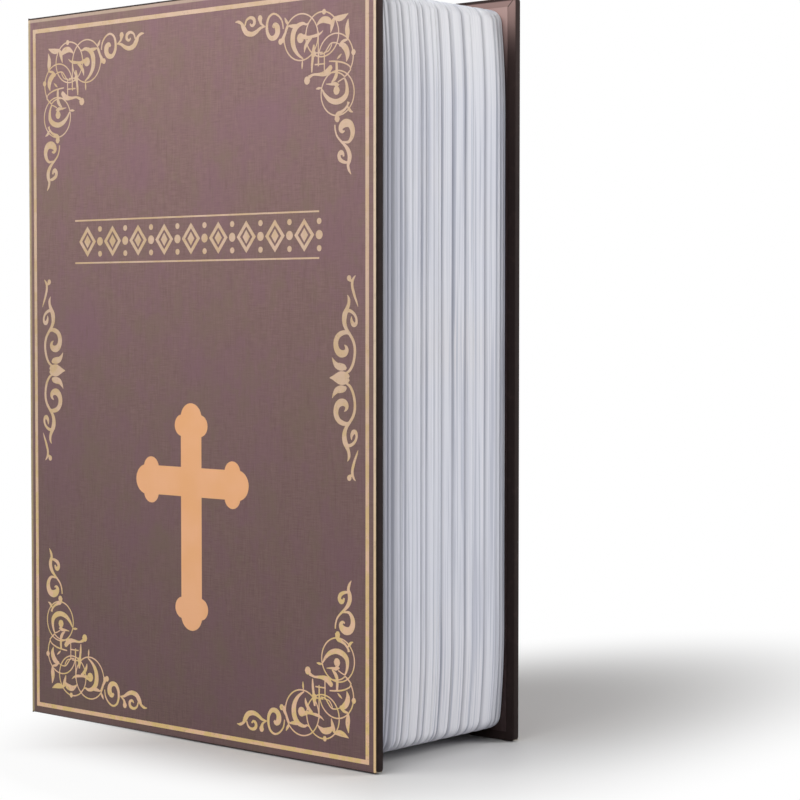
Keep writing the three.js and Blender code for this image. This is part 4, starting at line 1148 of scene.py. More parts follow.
def crossPiece():
    values = crossShape
    outline = []
    for quarter, length in enumerate(values["arms"]):
        across, up = math.cos(math.pi / 2 * quarter), math.sin(math.pi / 2 * quarter)
        outline += [(a * across - b * up, values["height"] + a * up + b * across)
                    for a, b in budArm(length)[::-1] + [(values["halfWidth"], values["halfWidth"])]]
    shape = bmesh.new()
    addFlat(shape, outline)
    return closeMesh("budded_cross", shape, "cross")


standFor(crossPiece(), "front_cover", "printed_cover")
print("gilt print made")


# grooves as (share of the block's depth, depth as a share of ribDepth, half width in mm)
pageShape = {
    "corner": 5.0, "bow": 1.6, "bowLength": 30.0, "wall": 1.8, "rimWidth": 4.6, "openCorner": 7.4,
    "rimEase": 0.15, "rimThickness": 1.8, "rimInset": 0.95, "ribDepth": 0.72, "tailBite": 0.75,
    "lobeSink": 0.16, "lobeSteps": 6, "cornerSteps": 20, "grooveSteps": (0.3, 0.6, 1.0, 1.5, 2.1),
    "flatGap": 0.12, "grooveFall": 1.6, "grooveLobe": 0.5, "wallSink": 0.5, "rimStart": 0.01, "openSides": 8,
    "openPast": 20,
    "grooves": [
        (0.0, 0.7, 0.5), (0.030, 0.45, 0.35), (0.065, 1.0, 0.75), (0.131, 0.6, 0.45), (0.171, 0.95, 0.5),
        (0.223, 0.4, 0.4), (0.298, 0.8, 0.5), (0.338, 0.8, 0.45), (0.393, 0.35, 0.4), (0.430, 0.35, 0.35),
        (0.462, 0.9, 0.5), (0.551, 0.95, 0.55), (0.656, 1.0, 0.55), (0.717, 0.35, 0.4), (0.822, 0.95, 0.6),
        (0.922, 0.7, 0.5), (0.958, 0.95, 0.5), (0.984, 0.5, 0.35), (1.0, 0.6, 0.5),
    ],
}


def pageSection():
    # the moulding's section as (out from the block, back from its front, how sunken)
    values = pageShape
    _, _, front, back, _, _ = span("page_shell")
    depth, sinkLeast, grooves = back - front, values["lobeSink"], values["grooves"]
    outer = []

    def add(place, lobe):
        sink = lobe
        for share, deep, half in grooves:
            off = abs(place - front - depth * share) / half
            sink = max(sink, deep * math.exp(-off ** values["grooveFall"]) + lobe * values["grooveLobe"])
        sink = min(sink, 1.0)
        outer.append((-values["ribDepth"] * sink, place, sink))

    for (startShare, _, startHalf), (endShare, _, endHalf) in zip(grooves, grooves[1:]):
        start, end = front + depth * startShare, front + depth * endShare
        middle = (start + end) / 2
        near = [start] + [start + startHalf * step for step in values["grooveSteps"]]
        far = [end - endHalf * step for step in values["grooveSteps"]]
        room = [place for place in near if place < middle] + [place for place in far if place > middle]
        flat = angles(start, end, values["lobeSteps"])[1:-1]
        for place in sorted(room + [p for p in flat if all(abs(p - q) > values["flatGap"] for q in room)]):
            if front <= place <= back:
                add(place, sinkLeast * (2 * (place - start) / (end - start) - 1) ** 2)
    add(back, sinkLeast)
    wall = -values["wall"] - values["ribDepth"] * values["wallSink"]
    return outer + [(wall, back, 0.0), (wall, front, 0.0)]


bowSlope = math.atan(2 * pageShape["bow"] / pageShape["bowLength"])     # where the bow meets a corner


def pagePath():
    # the crest line of the block, tail to fore-edge to head, seen from the front, in mm
    values = pageShape
    spine, fore, _, _, tail, head = span("page_shell")
    radius, steps = values["corner"], values["cornerSteps"]
    centre = (fore - values["bow"] - radius * math.cos(bowSlope), head - radius)
    upper = [(spine, head)] + arc(radius, angles(math.pi / 2, bowSlope, steps), centre)
    bowTop = centre[1] + radius * math.sin(bowSlope)
    for left in angles(1, 0, steps)[1:]:
        upper.append((fore - values["bow"] * left ** 2, bowTop - values["bowLength"] * (1 - left)))
    return [(x, head + tail - z) for x, z in upper] + upper[::-1]


def biteTail(block):
    # the grooves bite deeper where the block rounds its tail, so its lower edge is notched
    values = pageShape
    _, fore, _, _, tail, _ = span("page_shell")
    corner = values["corner"] * mm
    centreX = (fore - values["bow"] - values["corner"] * math.cos(bowSlope)) * mm
    centreZ = tail * mm + corner
    for vertex, row in zip(block.data.vertices, block.data.attributes["sunken"].data):
        across, under = max(vertex.co.x - centreX, 0.0), max(centreZ - vertex.co.z, 0.0)
        if under > 0.0 and row.value > 0.0:
            reach = math.hypot(across, under)
            bite = row.value * values["tailBite"] * mm * min(under / corner, 1.0)
            vertex.co.x -= across / reach * bite
            vertex.co.z += under / reach * bite


def pageRim():
    # the flat rim round the lid: its opening is straight, although the fore-edge outside it is bowed
    values = pageShape
    left, right, front, _, tail, head = span("page_shell")
    crest = pagePath()
    outline = []
    for (x, z), (startX, startZ), (endX, endZ) in zip(crest, crest[:1] + crest, crest[1:] + crest[-1:]):
        inset = values["rimInset"] / math.hypot(endX - startX, endZ - startZ)
        outline.append((x - (endZ - startZ) * inset, z + (endX - startX) * inset))
    near, far = front + values["rimStart"], front + values["rimThickness"]
    rim = lofted("pageRim", ringsAt(outline, (near, far), "y"), "page_moulding")
    inset = values["rimWidth"]
    low, high = (left - values["openPast"], tail + inset), (right - inset, head - inset)
    opening = loopCorners(low, high, (values["openCorner"],) * 4, values["openSides"])
    tool = lofted("rimOpening", ringsAt(opening, (near - past, far + past), "y"))
    return softened(carved(rim, tool), values["rimEase"])


def pageBlock():
    section = pageSection()
    points = [(x * mm, y * mm, 0.0) for x, y, _ in section]
    drawing = lineHost("pageSection", [(points, True)], {"sunken": [sink for _, _, sink in section]})
    path = lineHost("pagePath", [([(x * mm, z * mm, 0.0) for x, z in pagePath()], False)], {})
    block = carriedSection.grow("page_block", path, "page_moulding", {"Section": drawing}, sharpAngle=60)
    bpy.data.objects.remove(drawing)
    remeshed(block, turnOut)
    biteTail(block)
    return joined(block, pageRim())


pages = pageBlock()
standFor(pages, "book_body", "page_moulding", "page_shell")
print("page block:", len(pages.data.polygons), "faces")


def places(prefix, body, motif, seat):
    # one piece with the motif at every CAD node whose name starts with prefix
    names = sorted(name for name in nodes if name.startswith(prefix))
    seats = [seat(*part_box(name)) for name in names]
    piece = repeatedAt(prefix.rstrip("_") + "s", *zip(*seats), motif, "zinc_steel")
    return standFor(piece, body, "zinc_steel", *names)


rivetShape = {
    "radius": 1.2, "headRadius": 2.2, "headHeight": 0.8, "tailRadius": 1.9, "tailHeight": 0.5, "sides": 28,
    "crown": (0.12, 0.995), "domeSteps": 6, "hollow": 0.3, "tailEase": 0.25,
}


def rivetMotif(length):
    # a domed head above zero, its shank and its flat tail below
    values = rivetShape
    head, tail, shank, height = (values[key] for key in ("headRadius", "tailRadius", "radius", "headHeight"))
    foot = -length - values["tailHeight"]
    outline = [(values["hollow"], foot), (tail, foot), (tail, -length), (shank, -length)]
    profile = eased(outline, values["tailEase"], steps=2)
    profile += [(shank, 0.0)] + [(head * math.cos(turn), height * math.sin(turn))
                                 for turn in angles(0, math.pi / 2, values["domeSteps"])[:-1]]
    profile.append((head * values["crown"][0], height * values["crown"][1]))
    return turned("rivetMotif", profile, values["sides"], sharpAngle=50)


def headAlong(axis, side, inset=rivetShape["headHeight"]):
    # where a fastener's head seats, read from its node's box: side 1 is the high end of the axis
    def find(low, high):
        place = [(a + b) / 2 for a, b in zip(low, high)]
        direction = [0.0, 0.0, 0.0]
        direction[axis] = float(side)
        place[axis] = (high if side > 0 else low)[axis] - side * inset * mm
        return place, direction
    return find


# each row of rivets: its body, the thickness they hold, and the axis and side of their heads
rivets = {
    "body_leaf_rivet_": ("book_body", 1.8, 0, 1), "lid_leaf_rivet_": ("lid", 1.8, 1, -1),
    "strike_rivet_": ("book_body", 2.2, 0, -1),
}
for prefix, (body, held, axis, side) in rivets.items():
    places(prefix, body, rivetMotif(held), headAlong(axis, side))

screwShape = {
    "radius": 1.4, "length": 6.1, "headRadius": 2.8, "headHeight": 1.6, "crossWidth": 0.75,
    "crossReach": 1.55, "crossDepth": 1.1, "tipRadius": 0.5, "tip": 0.9, "sides": 32, "bossRadius": 3.4,
    "bossDraft": 0.2, "bossWall": 0.3, "bossGap": 0.3, "bossEase": 0.3, "hollow": 0.4,
    "shoulderShare": 0.55, "crownShare": 0.62, "eases": [0, 0.15, 0.7, 0.6, 0],
    "middle": 0.12,     # half the book's height, in metres
}


def crossCutters(values, top, centre=(0, 0), axis="z"):
    # the two blades of a cross recess, cut one after the other
    half, reach = values["crossWidth"] / 2, values["crossReach"]
    tools = []
    for a, b in ((reach, half), (half, reach)):
        low, high = [centre[0] - a, centre[1] - b], [centre[0] + a, centre[1] + b]
        low.insert("xyz".index(axis), top - values["crossDepth"])
        high.insert("xyz".index(axis), top + past)
        tools.append(cutter(low, high))
    return tools


def screwMotif():
    values = screwShape
    shank, head, high = values["radius"], values["headRadius"], values["headHeight"]
    outline = [(shank, 0.0), (head, 0.0), (head, high * values["shoulderShare"]),
               (head * values["crownShare"], high), (values["hollow"], high)]
    dome = eased(outline, values["eases"], steps=5)
    profile = [(values["tipRadius"], -values["length"]), (shank, values["tip"] - values["length"])] + dome
    return carved(turned("screwMotif", profile, values["sides"]), *crossCutters(values, high))


def screwSeat(low, high):
    # a page block screw's head lies inside the box, towards the middle of the book
    spans = [b - a for a, b in zip(low, high)]
    axis = spans.index(max(spans))
    middle = screwShape["middle"] if axis == 2 else 0.0
    side = -1 if (low[axis] + high[axis]) / 2 > middle else 1
    return headAlong(axis, side, screwShape["headHeight"])(low, high)


places("page_shell_screw_", "book_body", screwMotif(), screwSeat)


def pageBosses():
    # the posts behind the page block's wall that take those screws
    values = screwShape
    boxLow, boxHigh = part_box("box_body")
    length = span("page_shell")[5] - span("box_body")[5] - pageShape["wall"] - values["bossWall"]
    bore, radius = values["radius"] + values["bossGap"], values["bossRadius"]
    outline = [(bore, 0.0), (radius, 0.0), (radius + values["bossDraft"], length)]
    profile = eased(outline, [0, values["bossEase"], 0], steps=3)
    spots, directions = [], []
    for name in (name for name in nodes if name.startswith("page_shell_screw_")):
        spot, direction = screwSeat(*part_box(name))
        outward = [-value for value in direction]
        axis = [abs(value) for value in outward].index(1.0)
        spot[axis] = (boxHigh if outward[axis] > 0 else boxLow)[axis]
        spots.append(spot)
        directions.append(outward)
    motif = turned("bossMotif", profile, values["sides"])
    return repeatedAt("page_bosses", spots, directions, motif, "page_moulding")


standFor(pageBosses(), "book_body", "page_moulding")
print("rivets, screws and bosses made")


def frameRing(edges, inset, corner, depth, leastCorner=0.4, sides=10):
    # one ring of a sheet-metal form: a rounded rectangle drawn in by inset, at a depth
    left, right, tail, head = edges
    low, high = (left + inset, tail + inset), (right - inset, head - inset)
    return ringAt(loopCorners(low, high, (max(corner, leastCorner),) * 4, sides), depth, "y")


boxShape = {
    "corner": 5.0, "bend": 2.5, "sheet": 1.0, "edge": 0.18, "reliefDepth": 0.8, "reliefWidth": 3.7,
    "floorInset": 6.0, "floorStep": 1,
}


def boxShell():
    # the drawn tray, open at the front, with a notch along the spine for the hinge
    values = boxShape
    left, right, front, back, tail, head = span("box_body")
    sheet, inset, bend, edge = values["sheet"], values["floorInset"], values["bend"], values["edge"]
    outline = [(inset, back), (0, back), (0, front), (sheet, front), (sheet, back - sheet),
               (inset + values["floorStep"], back - sheet)]
    section = eased(outline, [0, bend, edge, edge, bend - sheet, 0], steps=6)
    rings = [frameRing((left, right, tail, head), inward, values["corner"] - inward, depth)
             for inward, depth in section]
    notchEnd = (left + values["reliefWidth"], front + values["reliefDepth"], head + past)
    notch = cutter((left - past, front - past, tail - past), notchEnd)
    return carved(lofted("box_tray", rings, "powder_coat"), notch, sharpAngle=50)


standFor(boxShell(), "book_body", "powder_coat", "box_body")

lidShape = {
    "corner": 6.5, "footCorner": 3.3, "bend": 1.5, "margin": 6.4, "hingeMargin": 13.0, "slope": 0.7,
    "rise": 0.9, "sheet": 1.0, "under": 0.5, "pressRound": 0.3, "edge": 0.18, "swap": 4.0, "panelInset": 3,
    "blankPast": 1, "trimPast": (5, 2, 2),
}


def lidShell():
    # the lid: raised panel, plain margin and a flange on three sides, cut off along the hinge
    values = lidShape
    spine, fore, panel, flange, tail, head = span("lid_pan")
    face, sheet, margin = panel + values["rise"], values["sheet"], values["margin"]
    foot, under, press, edge = margin + values["slope"], values["under"], values["pressRound"], values["edge"]
    blankSpine = spine - values["corner"] - values["blankPast"]
    section = eased(
        [(foot + values["panelInset"], panel), (foot, panel), (margin, face), (0, face), (0, flange),
         (sheet, flange), (sheet, face + sheet), (margin + under, face + sheet),
         (foot + under, panel + sheet), (foot + values["panelInset"], panel + sheet)],
        [0, press, press, values["bend"], edge, edge, values["bend"] - sheet, press, press, 0], steps=6)
    rings = []
    for inset, depth in section:
        onPanel = inset > values["swap"]
        start = spine + values["hingeMargin"] - margin if onPanel else blankSpine
        corner = values["footCorner"] - (inset - margin) if onPanel else values["corner"] - inset
        rings.append(frameRing((start, fore, tail, head), inset, corner, depth))
    across, deep, up = values["trimPast"]
    trim = cutter((blankSpine - across, panel - deep, tail - up), (spine, flange + deep, head + up))
    return carved(lofted("lid_shell", rings, "powder_coat"), trim, sharpAngle=50)


standFor(lidShell(), "lid", "powder_coat", "lid_pan")
print("box and lid made")

hingeShape = {
    "radius": 2.1, "leaf": 0.8, "count": 9, "gap": 0.4, "plateGap": 0.3, "bodyWidth": 12.0, "lidWidth": 11.0,
    "arcSteps": 26, "bodyTurns": (180.0, 478.0), "lidTurns": (90.0, 388.0), "edge": 0.12,
}


def knuckleMotif(turns, tab, length):
    # a rolled knuckle with its tab, in section, then drawn up to its length
    values = hingeShape
    rolled = [math.radians(turn) for turn in angles(*turns, values["arcSteps"])]
    section = [tab[0]] + arc(values["radius"], rolled)
    section += arc(values["radius"] - values["leaf"], rolled[::-1]) + [tab[1]]
    return softened(lofted("knuckleMotif", ringsAt(section, (-length / 2, length / 2))), values["edge"])


def hingePieces():
    # both leaves' plates and knuckles; gives the place of the pin's axis
    values = hingeShape
    left, _, front, _, tail, head = span("hinge_leaf_body")
    radius, leaf, gap, count = (values[key] for key in ("radius", "leaf", "gap", "count"))
    pitch, centreX, centreY = (head - tail + gap) / count, left + radius, front + radius
    clear = radius + values["plateGap"]
    # each leaf: its body, first knuckle, how it is rolled, its knuckles' tab and its plate's two corners
    leaves = {
        "body": ("book_body", 0, values["bodyTurns"], [(-radius, clear), (-radius + leaf, clear)],
                 (-radius, clear), (-radius + leaf, values["bodyWidth"])),
        "lid": ("lid", 1, values["lidTurns"], [(clear, radius), (clear, radius - leaf)],
                (clear, radius - leaf), (values["lidWidth"], radius)),
    }
    for side, (body, first, turns, tab, low, high) in leaves.items():
        start, end = [(centreX + across, centreY + depth) for across, depth in (low, high)]
        rings = blockRings((*start, tail), (*end, head))
        plate = softened(lofted("hinge_plate_" + side, rings, "zinc_steel"), values["edge"])
        standFor(plate, body, "zinc_steel", "hinge_leaf_" + side)
        spots = [(centreX * mm, centreY * mm, (tail + pitch * (i + 0.5) - gap / 2) * mm)
                 for i in range(first, count, 2)]
        motif = knuckleMotif(turns, tab, pitch - gap)
        upward = [(0.0, 0.0, 1.0)] * len(spots)
        knuckles = repeatedAt("hinge_knuckles_" + side, spots, upward, motif, "zinc_steel")
        standFor(knuckles, body, "zinc_steel")
    return centreX, centreY


pinShape = {
    "radius": 1.0, "headRadius": 1.7, "headHeight": 0.6, "hollow": 0.3, "sides": 32,
    "eases": [0, 0.4, 0.1, 0, 0, 0.1, 0.4, 0],
}


def hingePin(centreX, centreY):
    values = pinShape
    _, _, _, _, tail, head = span("hinge_pin")
    shank, wide, rim, hollow = (values[key] for key in ("radius", "headRadius", "headHeight", "hollow"))
    outline = [(hollow, tail), (wide, tail), (wide, tail + rim), (shank, tail + rim), (shank, head - rim),
               (wide, head - rim), (wide, head), (hollow, head)]
    profile = eased(outline, values["eases"])
    return turned("hinge_pin_rod", profile, values["sides"], "zinc_steel", (centreX, centreY, 0))


standFor(hingePin(*hingePieces()), "book_body", "zinc_steel", "hinge_pin")

strikeShape = {"sheet": 1.2, "bend": 1.5, "innerBend": 0.4, "edge": 0.2}


def strikeBracket():
    # an angle of bent sheet: its wall against the box, its lip in front of the locked cam
    values = strikeShape
    left, right, front, back, tail, head = span("strike")
    sheet, edge = values["sheet"], values["edge"]
    outline = [(right - sheet, front), (right, front), (right, back), (left, back), (left, back - sheet),
               (right - sheet, back - sheet)]
    section = eased(outline, [edge, edge, values["bend"], edge, edge, values["innerBend"]], looped=True)
    return softened(lofted("strike_angle", ringsAt(section, (tail, head)), "zinc_steel"), edge)


standFor(strikeBracket(), "book_body", "zinc_steel", "strike")
print("hinge and strike made")

lockShape = {
    "bezelRadius": 9.5, "bezelHeight": 2.2, "rim": 0.5, "lipRadius": 7.1, "recessRadius": 6.7,
    "boreRadius": 5.45, "barrelRadius": 8.0, "flat": 6.9, "threadPitch": 1.0, "threadDepth": 0.42,
    "threadRows": 6, "recess": 0.3,
    "headRadius": 6.45, "headHeight": 1.6, "plugRadius": 5.2, "dishRadius": 2.3, "dishDepth": 1.2,
    "slotWidth": 7.2, "slotHeight": 1.9, "slotDepth": 12.5, "faceRing": 5.55, "faceRingWidth": 0.28,
    "faceRingDepth": 0.14, "tang": 2.8, "tangEase": 0.15, "waferReach": 6, "waferGap": 0.15, "sides": 96,
    "barrelSides": 72, "seatGap": 0.3, "barrelGap": 0.01, "tangSink": 0.4,
    "bezelEases": [0, 0.12, 0.16, 0.22, 0.05, 0, 0],
    "faceEases": [0, 0.14, 0.05, 0, 0, 0.05, 0.28, 0.1, 0, 0],
}
lockLeft, lockRight, lockFront, lockBack, lockTail, lockHead = span("lock_housing")
lockX, lockZ = (lockLeft + lockRight) / 2, (lockTail + lockHead) / 2


def aboutLock(name, profile, sides, finish, looped=False):
    # a piece turned about the lock's axis
    return turned(name, profile, sides, finish, (lockX, 0, lockZ), "y", looped)


def lockHousing():
    # a polished conical bezel and a threaded barrel with two flats
    values = lockShape
    front, panel = lockFront, lockFront + values["bezelHeight"]
    seat = front + values["recess"] + values["headHeight"] + values["seatGap"]
    recess, lip = values["recessRadius"], values["lipRadius"]
    wide, bore = values["bezelRadius"], values["boreRadius"]
    outline = [(recess, seat), (recess, front), (lip, front), (wide, panel - values["rim"]), (wide, panel),
               (bore, panel), (bore, seat)]
    bezel = eased(outline, values["bezelEases"], looped=True)
    centre, start = (lockX, 0, lockZ), panel + values["barrelGap"]
    shape = bmesh.new()
    addLoft(shape, turnedRings(bezel, values["sides"], centre, "y"), True)

    def barrelRing(depth, deep):
        points = []
        for turn in fullTurn(values["barrelSides"]):
            wave = abs(((depth / values["threadPitch"] - turn / (2 * math.pi)) % 1) * 2 - 1)
            radius = values["barrelRadius"] - values["threadDepth"] * wave * deep
            up = max(-values["flat"], min(values["flat"], radius * math.sin(turn)))
            points.append((radius * math.cos(turn), up))
        return ringAt(points, depth, "y", centre)

    rows = int((lockBack - panel) / values["threadPitch"] * values["threadRows"])
    barrel = [barrelRing(depth, 0 if row in (0, rows) else 1)
              for row, depth in enumerate(angles(start, lockBack, rows))]
    inside = turnedRings([(bore, lockBack), (bore, start)], values["barrelSides"], centre, "y")
    addLoft(shape, barrel + inside, True)
    return closeMesh("lock_bezel", shape, "chrome_plate", sharpAngle=45)


def lockPlug():
    # the turning plug: dished face with a thin ring, key slot, tang for the cam
    values = lockShape
    face = lockFront + values["recess"]
    shoulder, camFace = face + values["headHeight"], span("lock_cam")[2]
    wide, tall = values["slotWidth"] / 2, values["slotHeight"] / 2
    ring, half, groove = values["faceRing"], values["faceRingWidth"] / 2, face + values["faceRingDepth"]
    head, stem = values["headRadius"], values["plugRadius"]
    outline = [
        (tall, face + values["dishDepth"]), (values["dishRadius"], face), (ring - half, face),
        (ring - half, groove), (ring + half, groove), (ring + half, face), (head, face), (head, shoulder),
        (stem, shoulder), (stem, camFace),
    ]
    profile = eased(outline, values["faceEases"])
    plug = aboutLock("lock_face", profile, values["sides"], "satin_nickel")
    slotEnd = face + values["slotDepth"]
    slot = cutter((lockX - wide, face - past, lockZ - tall), (lockX + wide, slotEnd, lockZ + tall))
    plug = carved(plug, slot)
    reach, gap = values["waferReach"], values["waferGap"]
    for name in (name for name in nodes if name.startswith("lock_wafer_")):
        _, _, front, back, tail, head = span(name)
        wafer = cutter((lockX - reach, front - gap, tail - gap), (lockX + reach, back + gap, head + gap))
        plug = carved(plug, wafer)
    tang, start, end = values["tang"], camFace - values["tangSink"], span("lock_plug")[3]
    rings = blockRings((lockX - tang, start, lockZ - tang), (lockX + tang, end, lockZ + tang))
    return plug, softened(lofted("lock_tang", rings, "satin_nickel"), values["tangEase"])


nutShape = {
    "acrossFlats": 18.0, "hole": 8.15, "holeEase": 0.5, "chamfer": 0.57, "faceRadius": 8.75, "sides": 96,
}
washerShape = {
    "radius": 10.2, "inner": 8.15, "rootRadius": 9.3, "teeth": 16, "toothWidth": 1.5, "twist": 16.0,
    "ringShare": 0.7, "toothShare": 0.5, "toothTaper": 0.15, "sides": 96, "ease": 0.08,
    "toothFoot": 0.4, "toothBend": (0.2, 0.6),
}


def lockNut():
    # a hexagon nut, its corners turned off on both faces
    values = nutShape
    _, _, front, back, _, _ = span("lock_nut")
    hole, ease, face = values["hole"], values["holeEase"], values["faceRadius"]

    def flats(depth, inward):
        ring = []
        for turn in fullTurn(values["sides"]):
            fromFlat = (turn + math.pi / 6) % (math.pi / 3) - math.pi / 6
            reach = values["acrossFlats"] / 2 / math.cos(fromFlat)
            drop = max(reach - face, 0.0) * values["chamfer"]
            spot = (lockX + reach * math.cos(turn), depth + inward * drop, lockZ + reach * math.sin(turn))
            ring.append([value * mm for value in spot])
        return ring

    def rounds(*profile):
        return turnedRings(profile, values["sides"], (lockX, 0, lockZ), "y")

    rings = rounds((hole, back - ease), (hole, front + ease), (hole + ease, front), (face, front))
    rings += [flats(front, 1), flats(back, -1)] + rounds((face, back), (hole + ease, back))
    return lofted("lock_hex_nut", rings, "zinc_steel", sharpAngle=25, looped=True)


def lockWasher():
    # a toothed lock washer: a flat ring whose teeth are twisted a little
    values = washerShape
    _, _, front, back, _, _ = span("lock_washer")
    middle, half = (front + back) / 2, (back - front) / 2
    inner, root, thick = values["inner"], values["rootRadius"], half * values["ringShare"]
    section = rectangle(inner, root, middle - thick, middle + thick)
    ring = eased(section, values["ease"], steps=2, looped=True)
    shape = bmesh.new()
    addLoft(shape, turnedRings(ring, values["sides"], (lockX, 0, lockZ), "y"), True)
    wide, twist = values["toothWidth"] / 2, math.radians(values["twist"])
    out, bent = values["toothBend"]
    for turn in fullTurn(values["teeth"]):
        rows = []
        for radius, share in ((root - values["toothFoot"], 0.0), (root + out, bent), (values["radius"], 1.0)):
            thin = half * (values["toothShare"] if share else values["ringShare"])
            slim = wide * (1 - values["toothTaper"] * share)
            row = []
            for a, b in rectangle(-slim, slim, -thin, thin):
                across = a * math.cos(twist * share) - b * math.sin(twist * share)
                depth = max(-half, min(half, a * math.sin(twist * share) + b * math.cos(twist * share)))
                spot = (lockX + radius * math.cos(turn) - across * math.sin(turn), middle + depth,
                        lockZ + radius * math.sin(turn) + across * math.cos(turn))
                row.append([value * mm for value in spot])
            rows.append(row)
        addLoft(shape, rows)
    return closeMesh("lock_tooth_washer", shape, "zinc_steel")


camShape = {
    "halfWidth": 5.0, "length": 14.5, "hubRadius": 6.5, "hole": 3.05, "edge": 0.22, "washerRadius": 4.6,
    "washerHole": 2.2, "screwRadius": 2.0, "screwHead": 3.7, "screwHeight": 2.2, "crossWidth": 1.0,
    "crossReach": 2.1, "crossDepth": 1.3, "tipSteps": 24, "hubSteps": 48, "washerSides": 64, "screwSides": 48,
    "washerEase": 0.12, "hollow": 0.4, "shoulderShare": 0.45, "crownShare": 0.62,
    "eases": [0, 0.3, 0, 0.15, 0.9, 0.8, 0],
}


def lockCam():
    # the cam: a hub with a square hole and an arm that hangs down when the lock is open
    values = camShape
    _, _, front, back, _, _ = span("lock_cam")
    half, hub, hole = values["halfWidth"], values["hubRadius"], values["hole"]
    join = math.atan2(-math.sqrt(hub ** 2 - half ** 2), half)
    outline = arc(half, angles(0, -math.pi, values["tipSteps"]), (0, half - values["length"]))
    outline += arc(hub, angles(math.pi - join, join, values["hubSteps"]))
    rings = [ringAt(outline, depth, "y", (lockX, 0, lockZ)) for depth in (front, back)]
    square = cutter((lockX - hole, front - past, lockZ - hole), (lockX + hole, back + past, lockZ + hole))
    return softened(carved(lofted("cam_arm", rings, "zinc_steel"), square), values["edge"])


def camFixings():
    values = camShape
    _, _, front, back, _, _ = span("cam_washer")
    inner, outer = values["washerHole"], values["washerRadius"]
    ring = eased(rectangle(inner, outer, front, back), values["washerEase"], steps=3, looped=True)
    washer = aboutLock("cam_flat_washer", ring, values["washerSides"], "zinc_steel", True)
    _, _, start, end, _, _ = span("cam_screw")
    shank, head, tall = values["screwRadius"], values["screwHead"], values["screwHeight"]
    outline = [(values["hollow"], start), (shank, start), (shank, end - tall), (head, end - tall),
               (head, end - tall * values["shoulderShare"]), (head * values["crownShare"], end),
               (values["hollow"], end)]
    profile = eased(outline, values["eases"], steps=5)
    screw = aboutLock("cam_pan_screw", profile, values["screwSides"], "zinc_steel")
    return washer, carved(screw, *crossCutters(values, end, (lockX, lockZ), "y"))


standFor(lockHousing(), "lid", "chrome_plate", "lock_housing")
plugFace, plugTang = lockPlug()
standFor(plugFace, "lock_turning", "satin_nickel", "lock_plug")
standFor(plugTang, "lock_turning", "satin_nickel")
standFor(lockNut(), "lid", "zinc_steel", "lock_nut")
standFor(lockWasher(), "lid", "zinc_steel", "lock_washer")
standFor(lockCam(), "lock_turning", "zinc_steel", "lock_cam")
for piece, replaced in zip(camFixings(), ("cam_washer", "cam_screw")):
    standFor(piece, "lock_turning", "zinc_steel", replaced)
print("lock made")

padShape = {"edge": 0.3, "trim": (0.0, 0.0, 0.0)}
for name in ("back_pad", "spine_pad"):
    foam = slab(name + "_foam", name, "pad_foam", padShape["trim"], padShape["trim"], padShape["edge"])
    standFor(foam, "book_body", "pad_foam", name)
print("foam pads made")


# every CAD node gets its finish, the ones that stay in view and the ones that a piece stands for
slotOf = {row["node"]: row["material_slot"] for row in frame["record"]["subparts"]}
for name, node in nodes.items():
    node.data.materials.clear()
    node.data.materials.append(finishes[slotOf[name]])
print("CAD nodes finished")


def seenDirectly(tree):
    # 1 where the camera, a reflection or a refraction looks, 0 for the light that falls on the object
    camera, glossy, through = [tree.node("ShaderNodeLightPath", out="Is " + ray + " Ray")
                               for ray in ("Camera", "Glossy", "Transmission")]
    return camera.most(glossy).most(through)


floorLook = {
    "size": 6.0, "below": 0.0002, "colour": paint(221, 220, 219), "roughness": 0.6, "shadowCentre": 0.04,
    "shadowDepth": 0.4, "shadowFade": (0.045, 0.13), "frontFade": (0.03, 0.09, 0.92),
}


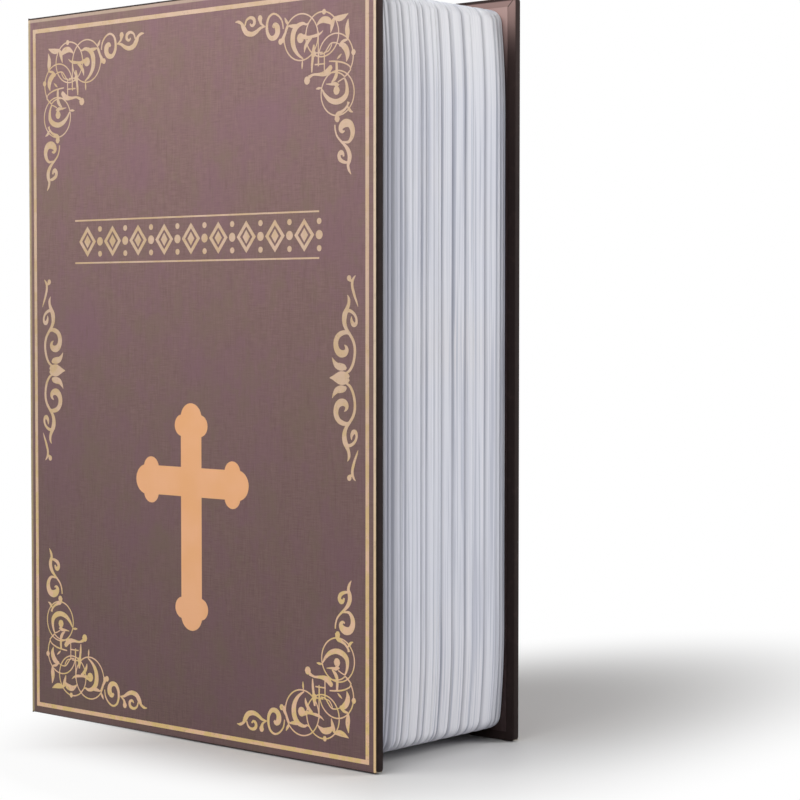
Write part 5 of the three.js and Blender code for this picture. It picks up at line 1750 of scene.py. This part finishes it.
def stageFloor():
    # pale round the object's shadow, and as white as the room away from it
    look = floorLook
    mesh = bpy.data.meshes.new("studioFloor")
    corners = rectangle(-look["size"], look["size"], -look["size"], look["size"])
    mesh.from_pydata([(x, y, 0) for x, y in corners], [], [(0, 1, 2, 3)])
    material = bpy.data.materials.new("studioFloor")
    tree = emptied(material)
    x, y, _ = tree.axes(tree.node("ShaderNodeTexCoord", out="Object"))
    behind = y.most(0.0) * look["shadowDepth"] + (-y).most(0.0)
    beside = x - look["shadowCentre"]
    away = (beside * beside + behind * behind) ** 0.5
    white = away.mask(*look["shadowFade"]).most((-y).mask(*look["frontFade"])) * seenDirectly(tree)
    pale = {"Base Color": look["colour"], "Roughness": look["roughness"]}
    diffuse = tree.node("ShaderNodeBsdfPrincipled", {}, pale)
    glow = tree.node("ShaderNodeEmission", {}, {"Color": (1, 1, 1, 1), "Strength": 1.0})
    mixed = tree.node("ShaderNodeMixShader", {}, {0: white, 1: diffuse, 2: glow})
    tree.node("ShaderNodeOutputMaterial", {}, {"Surface": mixed})
    mesh.materials.append(material)
    floor = addObject("studioFloor", mesh)
    floor.location = (0, 0, -look["below"])


stageFloor()

lampValues = {
    "key": {"place": (-0.06, -0.34, 0.52), "size": (0.45, 0.16), "power": 1.9},
    "side": {"place": (0.66, 0.58, 0.42), "size": (0.4, 0.5), "power": 4.6},
    "front": {"place": (0.45, -1.0, 0.38), "size": (0.35, 0.35), "power": 2.1},
}
lampAim = (0.0, 0.0, 0.12)
for name, values in lampValues.items():
    data = bpy.data.lights.new(name + "Lamp", "AREA")
    data.shape = "RECTANGLE"
    data.size, data.size_y = values["size"]
    data.energy = values["power"]
    lamp = addObject(name + "Lamp", data)
    lamp.location = values["place"]
    lamp.rotation_euler = (Vector(lampAim) - lamp.location).to_track_quat("-Z", "Y").to_euler()

roomLight = {"dim": 0.17, "white": 1.0}
world = bpy.data.worlds.new("studioRoom")
bpy.context.scene.world = world
room = emptied(world)
dim, white = [room.node("ShaderNodeBackground", {}, {"Color": (1.0, 1.0, 1.0, 1.0), "Strength": strength})
              for strength in roomLight.values()]
backdrop = room.node("ShaderNodeMixShader", {}, {0: seenDirectly(room), 1: dim, 2: white})
room.node("ShaderNodeOutputWorld", {}, {"Surface": backdrop})

cameraValues = {
    "place": (0.515343, -0.529566, 0.139339), "turn": (87.704, -0.019, 40.758), "lens": 99.23, "sensor": 36.0,
}
cameraData = bpy.data.cameras.new("studioCamera")
cameraData.lens = cameraValues["lens"]
cameraData.sensor_width = cameraValues["sensor"]
camera = addObject("studioCamera", cameraData)
camera.location = cameraValues["place"]
camera.rotation_euler = [math.radians(angle) for angle in cameraValues["turn"]]
bpy.context.scene.camera = camera
bpy.context.scene.view_settings.view_transform = "Standard"
print("stage set")
